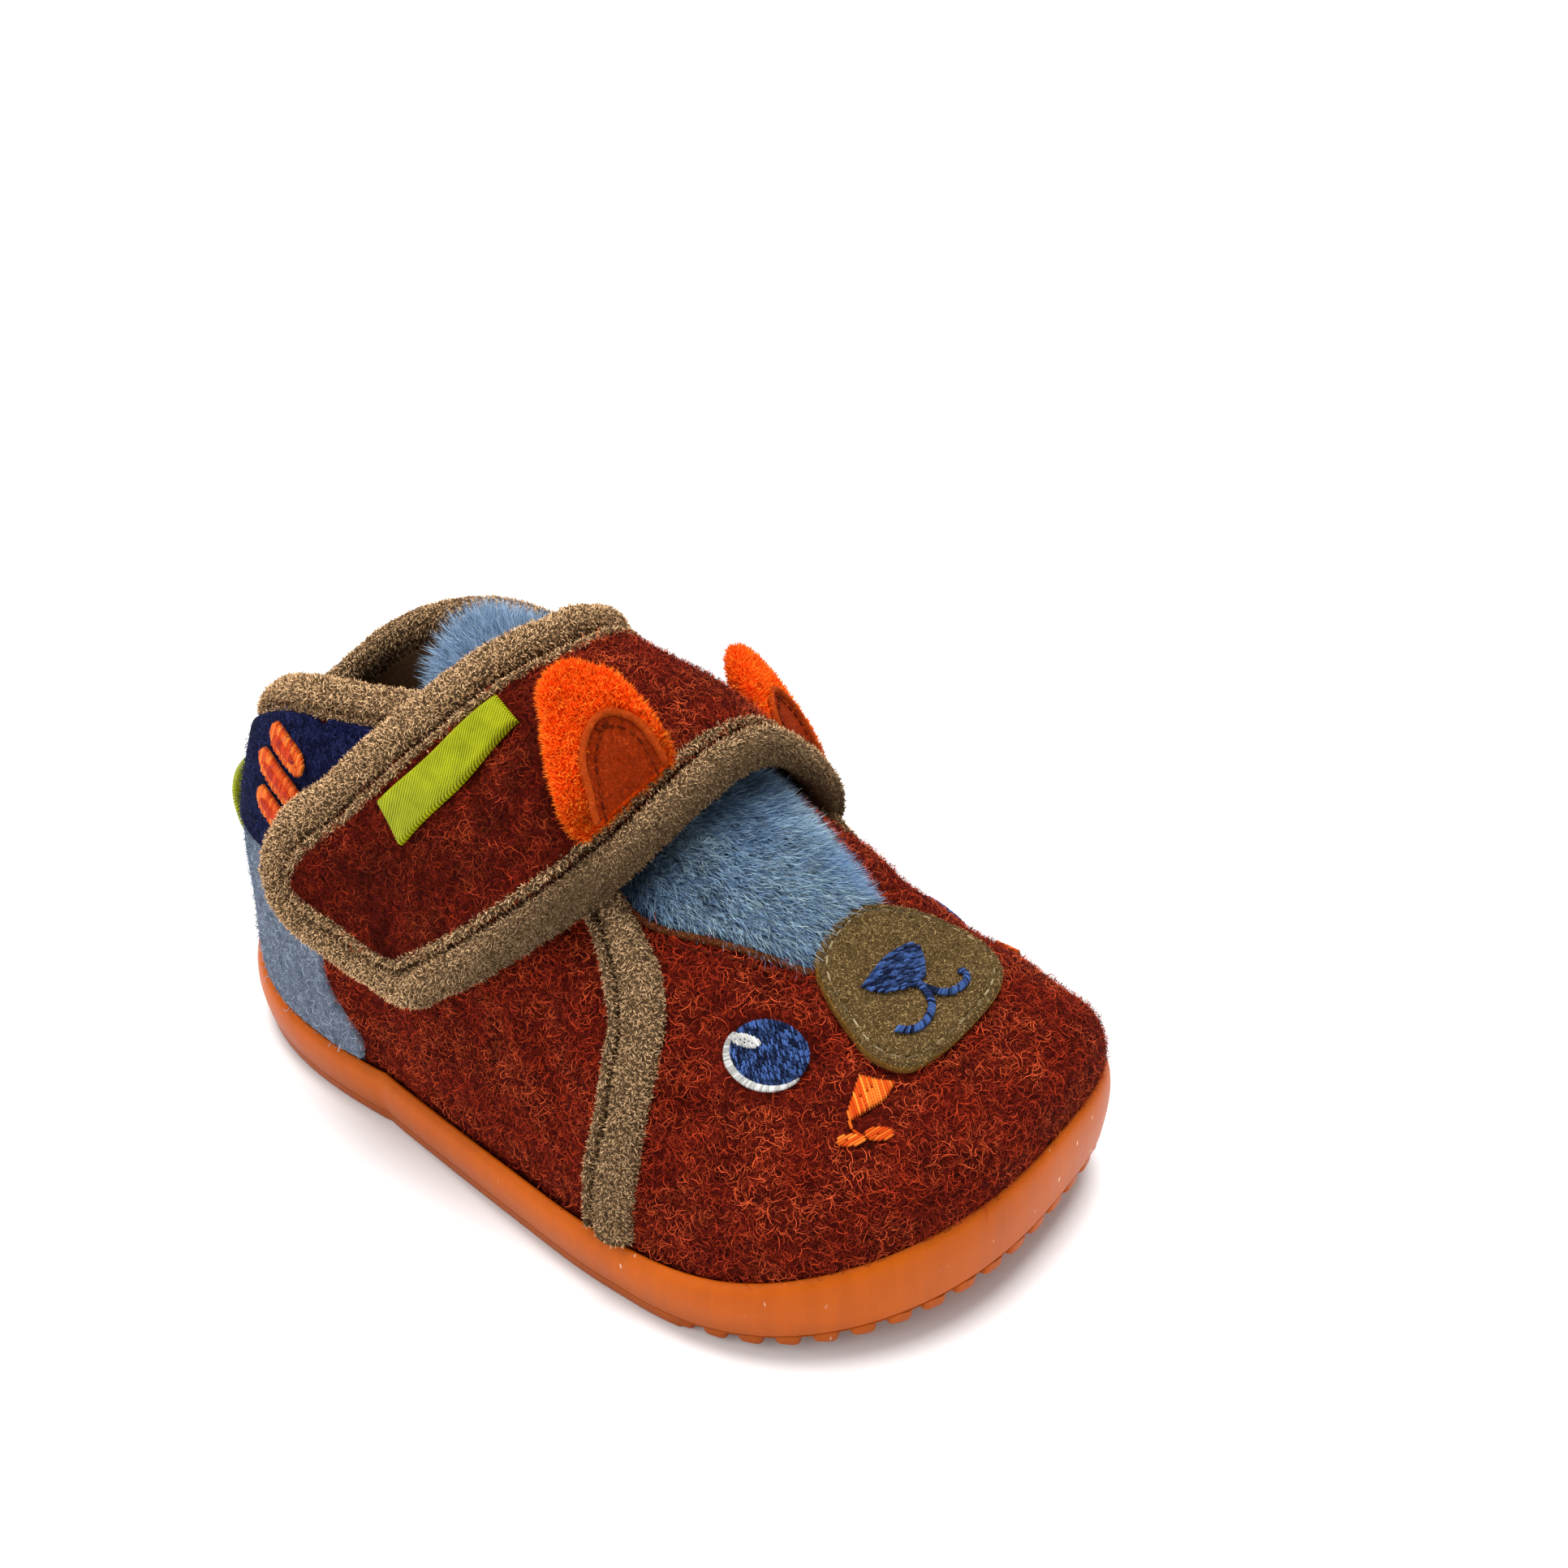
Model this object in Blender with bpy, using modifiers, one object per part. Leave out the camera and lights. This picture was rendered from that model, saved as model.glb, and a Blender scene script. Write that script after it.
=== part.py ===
"""A toddler's barefoot shoe for the right foot: a felt upper and strap on a gum rubber cup sole.

Sizes are in millimetres and become metres where a mesh is made. X runs from the heel to the toe,
Y to the medial side and Z up. The shoe is modelled from the back of its heel, standing on z = 0,
and is then moved so that the origin lies under the middle of its bounding box.
"""

import bmesh
import bpy
import numpy as np

MM = 0.001
GAP = 0.35  # clearance between pieces that meet
CUP_GAP = 0.6  # clearance between the cup and the upper
WELD = 0.01  # points closer than this are made one

# Driving sizes of the last
LENGTH = 136.0  # heel to toe along the feather line
BALL_WIDTH = 64.5  # across the feather line at the ball
INSTEP = 58.0  # crown over the feather line at the instep
HEEL_HEIGHT = 47.0  # top of the collar above the ground at the back of the heel
FEATHER_Z = 9.0  # feather line above the ground
TOE_SPRING = 6.0  # lift of the toe tip
SPRING_FROM = 97.5  # where the toe spring starts

# Upper
WALL = 2.8  # felt and lining
COLLAR_BAND = 5.6  # height of the collar's binding
THROAT_TIP = 8.75  # hoop at the front end of the throat
THROAT_ROUND = 0.5  # hoops over which the throat's tip rounds off
CORNER_LATERAL = 4.48  # hoops where the collar's binding ends
CORNER_MEDIAL = 4.50
COLLAR_ROWS = (  # x, rise of the collar's top over the back of the heel
    (-6.0, -5.5),
    (0.0, 0.0),
    (5.0, 5.1),
    (9.5, 9.6),
    (13.5, 13.0),
    (19.0, 16.4),
    (27.0, 19.5),
    (35.0, 21.4),
    (44.0, 22.6),
    (56.0, 24.7),
    (75.0, 30.0),
)

# Sole
FLOOR_Z = 4.5  # inside floor of the cup
INSOLE = 3.0
INSOLE_EDGE = 0.6  # bevel of the insole's upper edge
ARCH_RISE = 1.4  # the waist clears the ground by this
ARCH_RUN = 8.0  # length of the slope at each end of the waist
GROOVE_WIDTH = 1.4
GROOVE_DEPTH = 1.8
GROOVE_STEP = 6.4
TREAD_HEEL = (6.0, 45.0)  # stretches with grooves
TREAD_FORE = (76.0, 131.0)

# Strap, bindings and trim
STRAP = 2.6
BINDING_WIDTH = 6.2
BINDING_HEIGHT = 4.4
BINDING_SHIFT = 0.8  # from the strap's edge to its binding
BINDING_STEP = 3.2  # between the sections of a binding
SQUARENESS = 0.75  # a round section has 1, and a smaller number is nearer to a box
QUARTER_BAND = 2.2
QUARTER_HALF = 0.27  # half width of a quarter's band, in hoops
PATCH = 1.6
RIBBON_WIDTH = 10.0
RIBBON = 1.2
RIBBON_STEP = 2.6

# A hoop turns about a pivot on the feather line: the heel and the toe are fans of hoops, and the
# sides are upright slices. pivot_x is a part of the length, crown of the instep, and lateral,
# medial and crown_y of the ball width. The angle is in degrees, 0 ahead and 90 up.
LAST_COLUMNS = (
    "pivot_x",
    "angle",
    "crown",
    "lateral",
    "medial",
    "crown_y",
    "round_lateral",
    "round_medial",
)
LAST_ROWS = {
    "heel_feather": (0.320, 180, 0.750, 0.403, 0.395, 0.000, 2.45, 2.40),
    "heel_low": (0.320, 160, 0.802, 0.403, 0.395, 0.000, 2.35, 2.35),
    "heel_mid": (0.320, 140, 0.940, 0.403, 0.395, 0.000, 2.30, 2.30),
    "heel_top": (0.320, 120, 1.095, 0.403, 0.395, 0.000, 2.25, 2.30),
    "ankle": (0.327, 101, 1.259, 0.403, 0.395, 0.000, 2.20, 2.25),
    "throat": (0.415, 91, 1.138, 0.434, 0.391, 0.008, 2.20, 2.20),
    "instep": (0.526, 90, 1.000, 0.468, 0.406, 0.016, 2.20, 2.20),
    "waist": (0.636, 89, 0.836, 0.499, 0.447, 0.028, 2.20, 2.20),
    "ball": (0.717, 82, 0.664, 0.507, 0.493, 0.053, 2.20, 2.20),
    "vamp": (0.724, 62, 0.578, 0.507, 0.496, 0.071, 2.30, 2.40),
    "toe_top": (0.724, 41, 0.609, 0.507, 0.496, 0.091, 2.50, 2.70),
    "toe_front": (0.724, 20, 0.681, 0.507, 0.496, 0.112, 2.60, 2.90),
    "toe_feather": (0.724, 0, 0.641, 0.507, 0.496, 0.130, 2.70, 3.00),
}
LAST_HOOP = len(LAST_ROWS) - 1
CROWN_TAPER = 1.5  # how fast the sideways shift of the crown fades down the sides
FLANK = (3, 9)  # the hoops whose ends make the sides of the feather line

# Half angle of the throat on each side of the crown: hoop, lateral, medial
THROAT_ROWS = (
    (4.6, 0.26, 0.27),
    (5.5, 0.30, 0.30),
    (6.3, 0.34, 0.30),
    (7.1, 0.36, 0.25),
    (7.7, 0.26, 0.16),
    (8.35, 0.18, 0.10),
    (8.75, 0.14, 0.07),
)

# Half angle of the tongue, from its top edge to its end under the vamp: hoop, lateral, medial
TONGUE_ROWS = (
    (4.50, 0.20, 0.16),
    (4.65, 0.27, 0.22),
    (5.0, 0.31, 0.28),
    (5.5, 0.36, 0.36),
    (6.3, 0.41, 0.37),
    (7.1, 0.43, 0.33),
    (7.7, 0.34, 0.23),
    (8.35, 0.25, 0.17),
    (8.9, 0.14, 0.11),
)
TONGUE = 2.0
TONGUE_LEAN = 4.0  # the top edge lies this much further in
TONGUE_LEAN_FROM = 5.2  # hoop where it starts to lean
PILE = 0.4  # the pile stands this far over the upper in the throat
PILE_HOOPS = (5.8, 8.04)  # the pile starts under the strap and ends at the muzzle patch
PILE_EDGE = 0.026  # clearance from the edge of the throat, in v

# Felt of the strap, from its root on the medial quarter to the tip: v, rear hoop, front hoop
STRAP_ROWS = (
    (0.58, 4.80, 6.72),
    (0.44, 5.05, 6.78),
    (0.30, 5.28, 6.72),
    (0.15, 5.40, 6.62),
    (0.00, 5.42, 6.58),
    (-0.15, 5.30, 6.57),
    (-0.31, 5.09, 6.47),
    (-0.45, 4.79, 6.22),
    (-0.55, 4.55, 5.92),
    (-0.62, 4.34, 5.66),
    (-0.68, 3.98, 5.38),
    (-0.715, 3.70, 5.18),
    (-0.745, 3.98, 4.98),
    (-0.765, 4.36, 4.83),
    (-0.772, 4.52, 4.72),
)
STRAP_ROOT = STRAP_ROWS[0][0]
STRAP_TIP = STRAP_ROWS[-1][0]
STRAP_SIDE = -0.55  # v where the strap starts to narrow to its tip
STRAP_TIP_STEPS = (0.040, 0.020, 0.008, 0.0)  # rows of the strap's mesh before the tip
BINDING_FROM = 0.50  # v where the strap's binding starts and ends
STANDOFF = 1.4  # felt of the strap over the upper
PILE_RISE = 3.4  # more standoff over the pile, at the strap's front edge
PILE_HALF = 0.38  # reach of that rise in v
PILE_RISE_HOOPS = (5.2, 6.3)  # the rise grows between these hoops
SAG = 1.5  # the strap's rear edge sinks this much into the throat
SAG_HALF = 0.2  # reach of the sag in v

# Middle of the band down the front edge of each quarter: v, hoop
QUARTER_ROWS = {
    "lateral": ((-0.49, 7.20), (-0.60, 7.37), (-0.75, 7.49), (-0.90, 7.51), (-0.97, 7.51)),
    "medial": ((0.60, 7.14), (0.68, 7.26), (0.78, 7.36), (0.90, 7.42), (0.97, 7.43)),
}

# Muzzle patch: an egg about a point of the vamp
MUZZLE_CENTRE = (9.02, -0.025)  # hoop and v
MUZZLE_HALF = (0.90, 0.225)
MUZZLE_EGG = 0.20  # how much wider its front half is

# Ears: hoop and v at the middle of the foot, height of the middle plane over the last, and lift in degrees
EAR_ROWS = {
    "lateral": (6.40, -0.215, 9.0, 14.0),
    "medial": (6.52, 0.440, 7.1, 30.0),
}
EAR_SECTIONS = (  # along the ear, outer edge, inner edge, half thickness
    (0.0, -8.4, 9.0, 1.6),
    (3.0, -7.5, 9.3, 2.1),
    (5.5, -6.1, 9.6, 2.3),
    (8.0, -4.5, 9.7, 2.4),
    (11.0, -2.6, 9.5, 2.3),
    (13.5, -0.8, 8.3, 2.0),
    (15.2, 0.5, 6.9, 1.6),
    (16.2, 1.9, 5.9, 1.1),
    (16.6, 3.2, 4.8, 0.6),
)

# Pull loop in the plane of the heel: x, z
LOOP_ROWS = (
    (-0.4, 40.4),
    (-1.3, 38.6),
    (-4.4, 36.4),
    (-6.8, 32.0),
    (-7.4, 26.6),
    (-6.7, 20.8),
    (-4.2, 17.4),
    (-1.7, 16.6),
    (-1.5, 14.2),
)

# Side of the cup from the tread to the floor inside: out from the feather line, height,
# and the part of the rim's height that is added
CUP_ROWS = (
    (-1.4, 0.0, 0.00),
    (0.3, 0.5, 0.00),
    (1.3, 2.2, 0.00),
    (2.0, 2.0, 0.35),
    (2.1, 1.0, 0.70),
    (1.9, 0.0, 0.96),
    (1.5, 0.0, 1.00),
    (1.1, 0.0, 0.97),
    (CUP_GAP, FLOOR_Z, 0.00),
)
# Height of the cup's rim along the shoe: x, height
RIM_ROWS = ((0.0, 12.5), (8.0, 11.6), (26.0, 9.3), (108.0, 9.3), (128.0, 11.2), (136.0, 12.4))
OUTLINE_HALF = 34  # steps of the outline from heel to toe

COLOURS = {
    "felt": (0.28, 0.04, 0.012, 1.0),
    "plush": (0.14, 0.25, 0.40, 1.0),
    "binding": (0.21, 0.14, 0.075, 1.0),
    "rubber": (0.55, 0.12, 0.022, 1.0),
    "lining": (0.16, 0.10, 0.06, 1.0),
    "ear_plush": (0.90, 0.08, 0.005, 1.0),
    "muzzle_felt": (0.14, 0.09, 0.03, 1.0),
    "ribbon": (0.38, 0.43, 0.01, 1.0),
}
ROUGHNESS = {"rubber": 0.45, "ribbon": 0.55}


def clear_scene():
    for old in list(bpy.data.objects):
        bpy.data.objects.remove(old, do_unlink=True)


def curve(knots, values, monotone=False):
    """A smooth function through the knots. A monotone one doesn't overshoot."""
    knots = np.asarray(knots, float)
    values = np.asarray(values, float)
    slopes = np.gradient(values, knots)
    if monotone:
        steps = np.diff(values) / np.diff(knots)
        before, after = steps[:-1], steps[1:]
        agree = before * after > 0
        total = np.where(agree, before + after, 1.0)
        slopes[1:-1] = np.where(agree, 2 * before * after / total, 0.0)

    def at(x):
        x = np.clip(x, knots[0], knots[-1])
        i = np.clip(np.searchsorted(knots, x, side="right") - 1, 0, len(knots) - 2)
        width = knots[i + 1] - knots[i]
        t = (x - knots[i]) / width
        ends = values[i] * (1 + 2 * t) * (1 - t) ** 2 + values[i + 1] * t * t * (3 - 2 * t)
        return ends + width * (slopes[i] * t * (1 - t) ** 2 - slopes[i + 1] * t * t * (1 - t))

    return at


def table_curves(rows, monotone=False):
    """One curve for each column after the first, which holds the knots in rising order."""
    columns = np.array(sorted(rows), float).T
    return [curve(columns[0], column, monotone) for column in columns[1:]]


def last_curves():
    """The columns of the last's table as functions of the hoop, in millimetres and degrees."""
    sizes = {"pivot_x": LENGTH, "crown": INSTEP}
    sizes.update(dict.fromkeys(("lateral", "medial", "crown_y"), BALL_WIDTH))
    table = np.array(list(LAST_ROWS.values()), float)
    hoops = np.arange(len(table))
    found = {}
    for k, name in enumerate(LAST_COLUMNS):
        values = table[:, k] * sizes.get(name, 1.0)
        found[name] = curve(hoops, values, monotone=name in ("pivot_x", "angle"))
    return found


SECTION = last_curves()
THROAT = dict(zip(("lateral", "medial"), table_curves(THROAT_ROWS)))
STRAP_REAR, STRAP_FRONT = table_curves(STRAP_ROWS)
RIM = table_curves(RIM_ROWS, monotone=True)[0]
COLLAR = table_curves(COLLAR_ROWS, monotone=True)[0]


def lift(x):
    """Toe spring at x."""
    ahead = np.maximum(x - SPRING_FROM, 0.0) / (LENGTH - SPRING_FROM)
    return TOE_SPRING * ahead**2


def arch(x):
    """How far the waist of the sole clears the ground."""
    t = np.clip(np.minimum(x - TREAD_HEEL[1], TREAD_FORE[0] - x) / ARCH_RUN, 0.0, 1.0)
    return ARCH_RISE * t * t * (3 - 2 * t)


def side_name(side):
    return "lateral" if side < 0 else "medial"


def skin(u, v):
    """Point of the last on hoop u, from v = -1 on the lateral feather line over the crown to +1."""
    u, v = np.broadcast_arrays(np.asarray(u, float), np.asarray(v, float))
    lateral = v < 0
    power = 2 / np.where(lateral, SECTION["round_lateral"](u), SECTION["round_medial"](u))
    width = np.where(lateral, SECTION["lateral"](u), SECTION["medial"](u))
    across = np.sin(v * np.pi / 2)
    over = np.maximum(np.cos(v * np.pi / 2), 0.0)
    over = np.where(np.abs(v) >= 1, 0.0, over)
    radius = SECTION["crown"](u) * over**power
    angle = np.radians(SECTION["angle"](u))
    x = SECTION["pivot_x"](u) + radius * np.cos(angle)
    y = np.sign(across) * width * np.abs(across) ** power + SECTION["crown_y"](u) * over**CROWN_TAPER
    z = FEATHER_Z + radius * np.sin(angle) + lift(x)
    return np.stack((x, y, z), -1)


def skin_normal(u, v):
    """Outward normal of the last."""
    step = 2e-3
    u = np.clip(u, step, LAST_HOOP - step)
    v = np.clip(v, -0.99, 0.99)
    along = skin(u + step, v) - skin(u - step, v)
    round_hoop = skin(u, v + step) - skin(u, v - step)
    normal = np.cross(along, round_hoop)
    return normal / np.linalg.norm(normal, axis=-1, keepdims=True)


def skin_out(u, v, out):
    """A point of the last moved out along its normal."""
    return skin(u, v) + skin_normal(u, v) * np.asarray(out, float)[..., None]


def collar_v(u, side, drop):
    """Where hoop u meets the collar's line lowered by drop. It is 0 where the hoop stays below it."""
    crown = SECTION["crown"](u)
    angle = np.radians(SECTION["angle"](u))
    low, high = 0 * crown, crown
    for _ in range(40):
        radius = (low + high) / 2
        line = HEEL_HEIGHT - drop + COLLAR(SECTION["pivot_x"](u) + radius * np.cos(angle))
        below = FEATHER_Z + radius * np.sin(angle) < line
        low = np.where(below, radius, low)
        high = np.where(below, high, radius)
    share = high / crown
    return np.arccos(share ** (SECTION["round_" + side_name(side)](u) / 2)) * 2 / np.pi


def throat_v(u, side):
    """Half angle of the throat, rounded off at its tip."""
    near_tip = np.clip((u - THROAT_TIP) / THROAT_ROUND + 1, 0.0, 1.0)
    behind = u >= THROAT_ROWS[0][0]
    return np.where(behind, THROAT[side_name(side)](u) * np.sqrt(1 - near_tip**2), 0.0)


def opening_v(u, side):
    return np.maximum(collar_v(u, side, COLLAR_BAND), throat_v(u, side))


def heel_hoop(drop):
    """The first hoop that reaches the collar's line lowered by drop."""
    hoops = np.linspace(0.0, 5.0, 4001)
    return hoops[np.argmax(collar_v(hoops, -1, drop) > 0)]


def outline(out):
    """Feather outline in plan, moved out: from the heel by the lateral side to the toe and back."""
    halves = []
    bend = np.linspace(0.0, 1.0, 80)
    for side in (-1, 1):
        heel = skin(0.0, side * bend)
        flank = skin(np.linspace(*FLANK, 80), side)
        toe = skin(LAST_HOOP, side * bend[::-1])
        path = np.concatenate((heel, flank, toe))[:, :2]
        run = np.concatenate(([0.0], np.cumsum(np.linalg.norm(np.diff(path, axis=0), axis=1))))
        even = np.linspace(0.0, run[-1], OUTLINE_HALF + 1)
        halves.append(np.stack([np.interp(even, run, path[:, k]) for k in (0, 1)], -1))
    loop = np.concatenate((halves[0], halves[1][-2:0:-1]))
    tangent = np.roll(loop, -1, axis=0) - np.roll(loop, 1, axis=0)
    tangent /= np.linalg.norm(tangent, axis=1, keepdims=True)
    return loop + out * np.stack((tangent[:, 1], -tangent[:, 0]), -1)


def level(out, height):
    """A ring of the outline at a height, which may be a function of x."""
    plan = outline(out)
    z = height(plan[:, 0]) if callable(height) else np.full(len(plan), height)
    return np.column_stack((plan, z + lift(plan[:, 0])))


def add_grid(mesh, points, closed=False):
    """Quads over rows and columns of points, which face the way that rows cross columns."""
    corners = [[mesh.verts.new(point * MM) for point in row] for row in points]
    columns = len(corners[0])
    for low, high in zip(corners, corners[1:]):
        for j in range(columns if closed else columns - 1):
            k = (j + 1) % columns
            mesh.faces.new((low[j], high[j], high[k], low[k]))


def add_loft(mesh, rings):
    """A tube through rings of points, with flat ends."""
    loops = [[mesh.verts.new(point * MM) for point in ring] for ring in rings]
    for near, far in zip(loops, loops[1:]):
        for k in range(len(near)):
            mesh.faces.new((near[k - 1], near[k], far[k], far[k - 1]))
    mesh.faces.new(loops[0])
    mesh.faces.new(loops[-1])
    bmesh.ops.recalc_face_normals(mesh, faces=mesh.faces)


def add_plate(mesh, rings):
    """A solid through rings of the outline, closed below and above by strips from side to side."""
    loops = [[mesh.verts.new(point * MM) for point in ring] for ring in rings]
    count = len(loops[0])
    half = count // 2
    for near, far in zip(loops, loops[1:]):
        for k in range(count):
            mesh.faces.new((near[k - 1], near[k], far[k], far[k - 1]))
    for loop in (loops[0], loops[-1]):
        mesh.faces.new((loop[0], loop[1], loop[-1]))
        for i in range(1, half - 1):
            mesh.faces.new((loop[i], loop[i + 1], loop[count - i - 1], loop[count - i]))
        mesh.faces.new((loop[half - 1], loop[half], loop[half + 1]))
    bmesh.ops.recalc_face_normals(mesh, faces=mesh.faces)


def material(name):
    found = bpy.data.materials.get(name)
    if found:
        return found
    made = bpy.data.materials.new(name)
    made.use_nodes = True
    shader = made.node_tree.nodes["Principled BSDF"]
    shader.inputs["Base Color"].default_value = COLOURS[name]
    shader.inputs["Roughness"].default_value = ROUGHNESS.get(name, 0.9)
    shader.inputs["Metallic"].default_value = 0.0
    return made


def make_object(name, mesh, look):
    """An object of the shoe from a bmesh, with points that coincide made one."""
    bmesh.ops.remove_doubles(mesh, verts=mesh.verts, dist=WELD * MM)
    data = bpy.data.meshes.new(name)
    mesh.to_mesh(data)
    mesh.free()
    data.materials.append(material(look))
    made = bpy.data.objects.new(name, data)
    SHOE.objects.link(made)
    made.parent = STAND
    return made


def thicken(piece, thickness, side):
    """Gives an open sheet its thickness, outwards for side 1 and inwards for side -1."""
    solidify = piece.modifiers.new("wall", "SOLIDIFY")
    solidify.thickness = thickness * MM
    solidify.offset = side
    solidify.use_even_offset = True
    solidify.use_quality_normals = True


def hide_helper(piece):
    piece.hide_render = True
    piece.display_type = "WIRE"


def combine(piece, helper, operation):
    boolean = piece.modifiers.new(operation.lower(), "BOOLEAN")
    boolean.operation = operation
    boolean.solver = "EXACT"
    boolean.object = helper
    hide_helper(helper)


def make_outsole():
    """The rubber cup: its side, its tread with a raised waist, and the floor inside."""
    rings = []
    for out, height, share in CUP_ROWS:
        waist = 1.0 if height < 1.0 and share == 0.0 else 0.0
        rings.append(level(out, lambda x: height + share * RIM(x) + waist * arch(x)))
    mesh = bmesh.new()
    add_plate(mesh, rings)
    outsole = make_object("outsole", mesh, "rubber")
    combine(outsole, make_groove_cutter(), "DIFFERENCE")


def make_groove_cutter():
    """Bars across the sole that leave the lugs of the heel and the forefoot between them."""
    mesh = bmesh.new()
    for start, end in (TREAD_HEEL, TREAD_FORE):
        for x in np.arange(start, end, GROOVE_STEP):
            made = bmesh.ops.create_cube(mesh, size=1.0)["verts"]
            size = np.array((GROOVE_WIDTH, 2 * BALL_WIDTH, 2 * GROOVE_DEPTH))
            bmesh.ops.scale(mesh, verts=made, vec=size * MM)
            bmesh.ops.translate(mesh, verts=made, vec=np.array((x, 0.0, lift(x))) * MM)
    return make_object("groove_cutter", mesh, "rubber")


def make_insole():
    edge = -WALL - 2 * GAP
    bottom = FLOOR_Z + GAP
    mesh = bmesh.new()
    side = bottom + INSOLE - INSOLE_EDGE
    top = level(edge - INSOLE_EDGE, bottom + INSOLE)
    add_plate(mesh, [level(edge, bottom), level(edge, side), top])
    make_object("insole", mesh, "lining")


def on_feather(point):
    """Whether a point in metres lies on the feather line."""
    return abs(point.z - (FEATHER_Z + lift(point.x / MM)) * MM) < WELD * MM


def make_upper():
    """The hollow wall: hoops from the feather line to the edge of the opening, and a hem in the cup."""
    heel_edge = heel_hoop(COLLAR_BAND)
    swing = (1 - np.cos(np.linspace(0.0, np.pi, 27))) / 2
    behind = np.linspace(0.0, heel_edge, 6)[:-1]
    beside = heel_edge + (THROAT_TIP - heel_edge) * swing
    ahead = np.linspace(THROAT_TIP, LAST_HOOP, 10)[1:]
    hoops = np.concatenate((behind, beside, ahead))
    share = np.linspace(0.0, 1.0, 11)
    mesh = bmesh.new()
    for side in (-1, 1):
        edge = opening_v(hoops, side)[:, None]
        v = side * (edge + (1 - edge) * share)
        add_grid(mesh, skin(hoops[:, None], v)[:, ::side])
    bmesh.ops.remove_doubles(mesh, verts=mesh.verts, dist=WELD * MM)
    feather = [e for e in mesh.edges if e.is_boundary and all(on_feather(p.co) for p in e.verts)]
    hem = bmesh.ops.extrude_edge_only(mesh, edges=feather)["geom"]
    for point in (g for g in hem if isinstance(g, bmesh.types.BMVert)):
        point.co.z -= (FEATHER_Z - FLOOR_Z - GAP) * MM
    thicken(make_object("upper", mesh, "felt"), WALL, -1)


def make_tongue():
    """A plush tongue under the throat. Its pile fills the throat up to the muzzle patch."""
    lateral, medial = table_curves(TONGUE_ROWS)
    hoops = np.linspace(TONGUE_ROWS[0][0], TONGUE_ROWS[-1][0], 18)
    share = np.linspace(0.0, 1.0, 11)
    v = -lateral(hoops)[:, None] * (1 - share) + medial(hoops)[:, None] * share
    top = (TONGUE_LEAN_FROM - hoops) / (TONGUE_LEAN_FROM - hoops[0])
    lean = TONGUE_LEAN * np.maximum(top, 0.0)[:, None] ** 2
    mesh = bmesh.new()
    add_grid(mesh, skin_out(hoops[:, None] + 0 * v, v, 0 * v - WALL - GAP - lean))
    tongue = make_object("tongue", mesh, "plush")
    thicken(tongue, TONGUE, -1)

    hoops = np.linspace(*PILE_HOOPS, 14)
    near = throat_v(hoops, -1)[:, None] - PILE_EDGE
    far = throat_v(hoops, 1)[:, None] - PILE_EDGE
    v = -near * (1 - share) + far * share
    depth = WALL + GAP + TONGUE / 2
    mesh = bmesh.new()
    add_grid(mesh, skin_out(hoops[:, None] + 0 * v, v, 0 * v - depth))
    pile = make_object("pile_helper", mesh, "plush")
    thicken(pile, depth + PILE, 1)
    combine(tongue, pile, "UNION")


def strap_standoff(u, v):
    """How far the inside of the strap lies over the upper: most at the front, where it crosses the pile."""
    first, last = PILE_RISE_HOOPS
    t = np.clip((u - first) / (last - first), 0.0, 1.0)
    forward = t * t * (3 - 2 * t)
    rise = PILE_RISE * forward * np.exp(-((v / PILE_HALF) ** 2))
    return STANDOFF + rise - SAG * (1 - forward) * np.exp(-((v / SAG_HALF) ** 2))


def make_strap():
    """The felt flap from its root on the medial quarter over the instep to its rounded tip."""
    over = np.linspace(STRAP_ROOT, STRAP_SIDE, 16)
    tip = STRAP_TIP + np.array(STRAP_TIP_STEPS)
    beside = np.linspace(STRAP_SIDE, tip[0], 7)[1:-1]
    v = np.concatenate((over, beside, tip))
    share = np.linspace(0.0, 1.0, 8)
    rear = STRAP_REAR(v)[:, None]
    front = STRAP_FRONT(v)[:, None]
    u = rear + (front - rear) * share
    v = v[:, None] + 0 * u
    mesh = bmesh.new()
    add_grid(mesh, skin_out(u, v, strap_standoff(u, v)))
    thicken(make_object("strap", mesh, "felt"), STRAP, 1)


def sweep(points, normals, shift, half_width, half_height, sides=10):
    """Rings of a rounded band along a path on the surface, moved sideways by shift."""
    tangent = np.gradient(points, axis=0)
    across = np.cross(tangent, normals)
    across /= np.linalg.norm(across, axis=1, keepdims=True)
    turn = np.linspace(0.0, 2 * np.pi, sides, endpoint=False) + np.pi / sides
    wide = np.sign(np.cos(turn)) * np.abs(np.cos(turn)) ** SQUARENESS * half_width + shift
    high = np.sign(np.sin(turn)) * np.abs(np.sin(turn)) ** SQUARENESS * half_height
    return points[:, None] + across[:, None] * wide[:, None] + normals[:, None] * high[:, None]


def even_steps(points, step):
    """Places along a path of points, as fractional indices, at even distances."""
    run = np.concatenate(([0.0], np.cumsum(np.linalg.norm(np.diff(points, axis=0), axis=1))))
    count = max(2, int(round(run[-1] / step)) + 1)
    return np.interp(np.linspace(0.0, run[-1], count), run, np.arange(len(points)))


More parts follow.
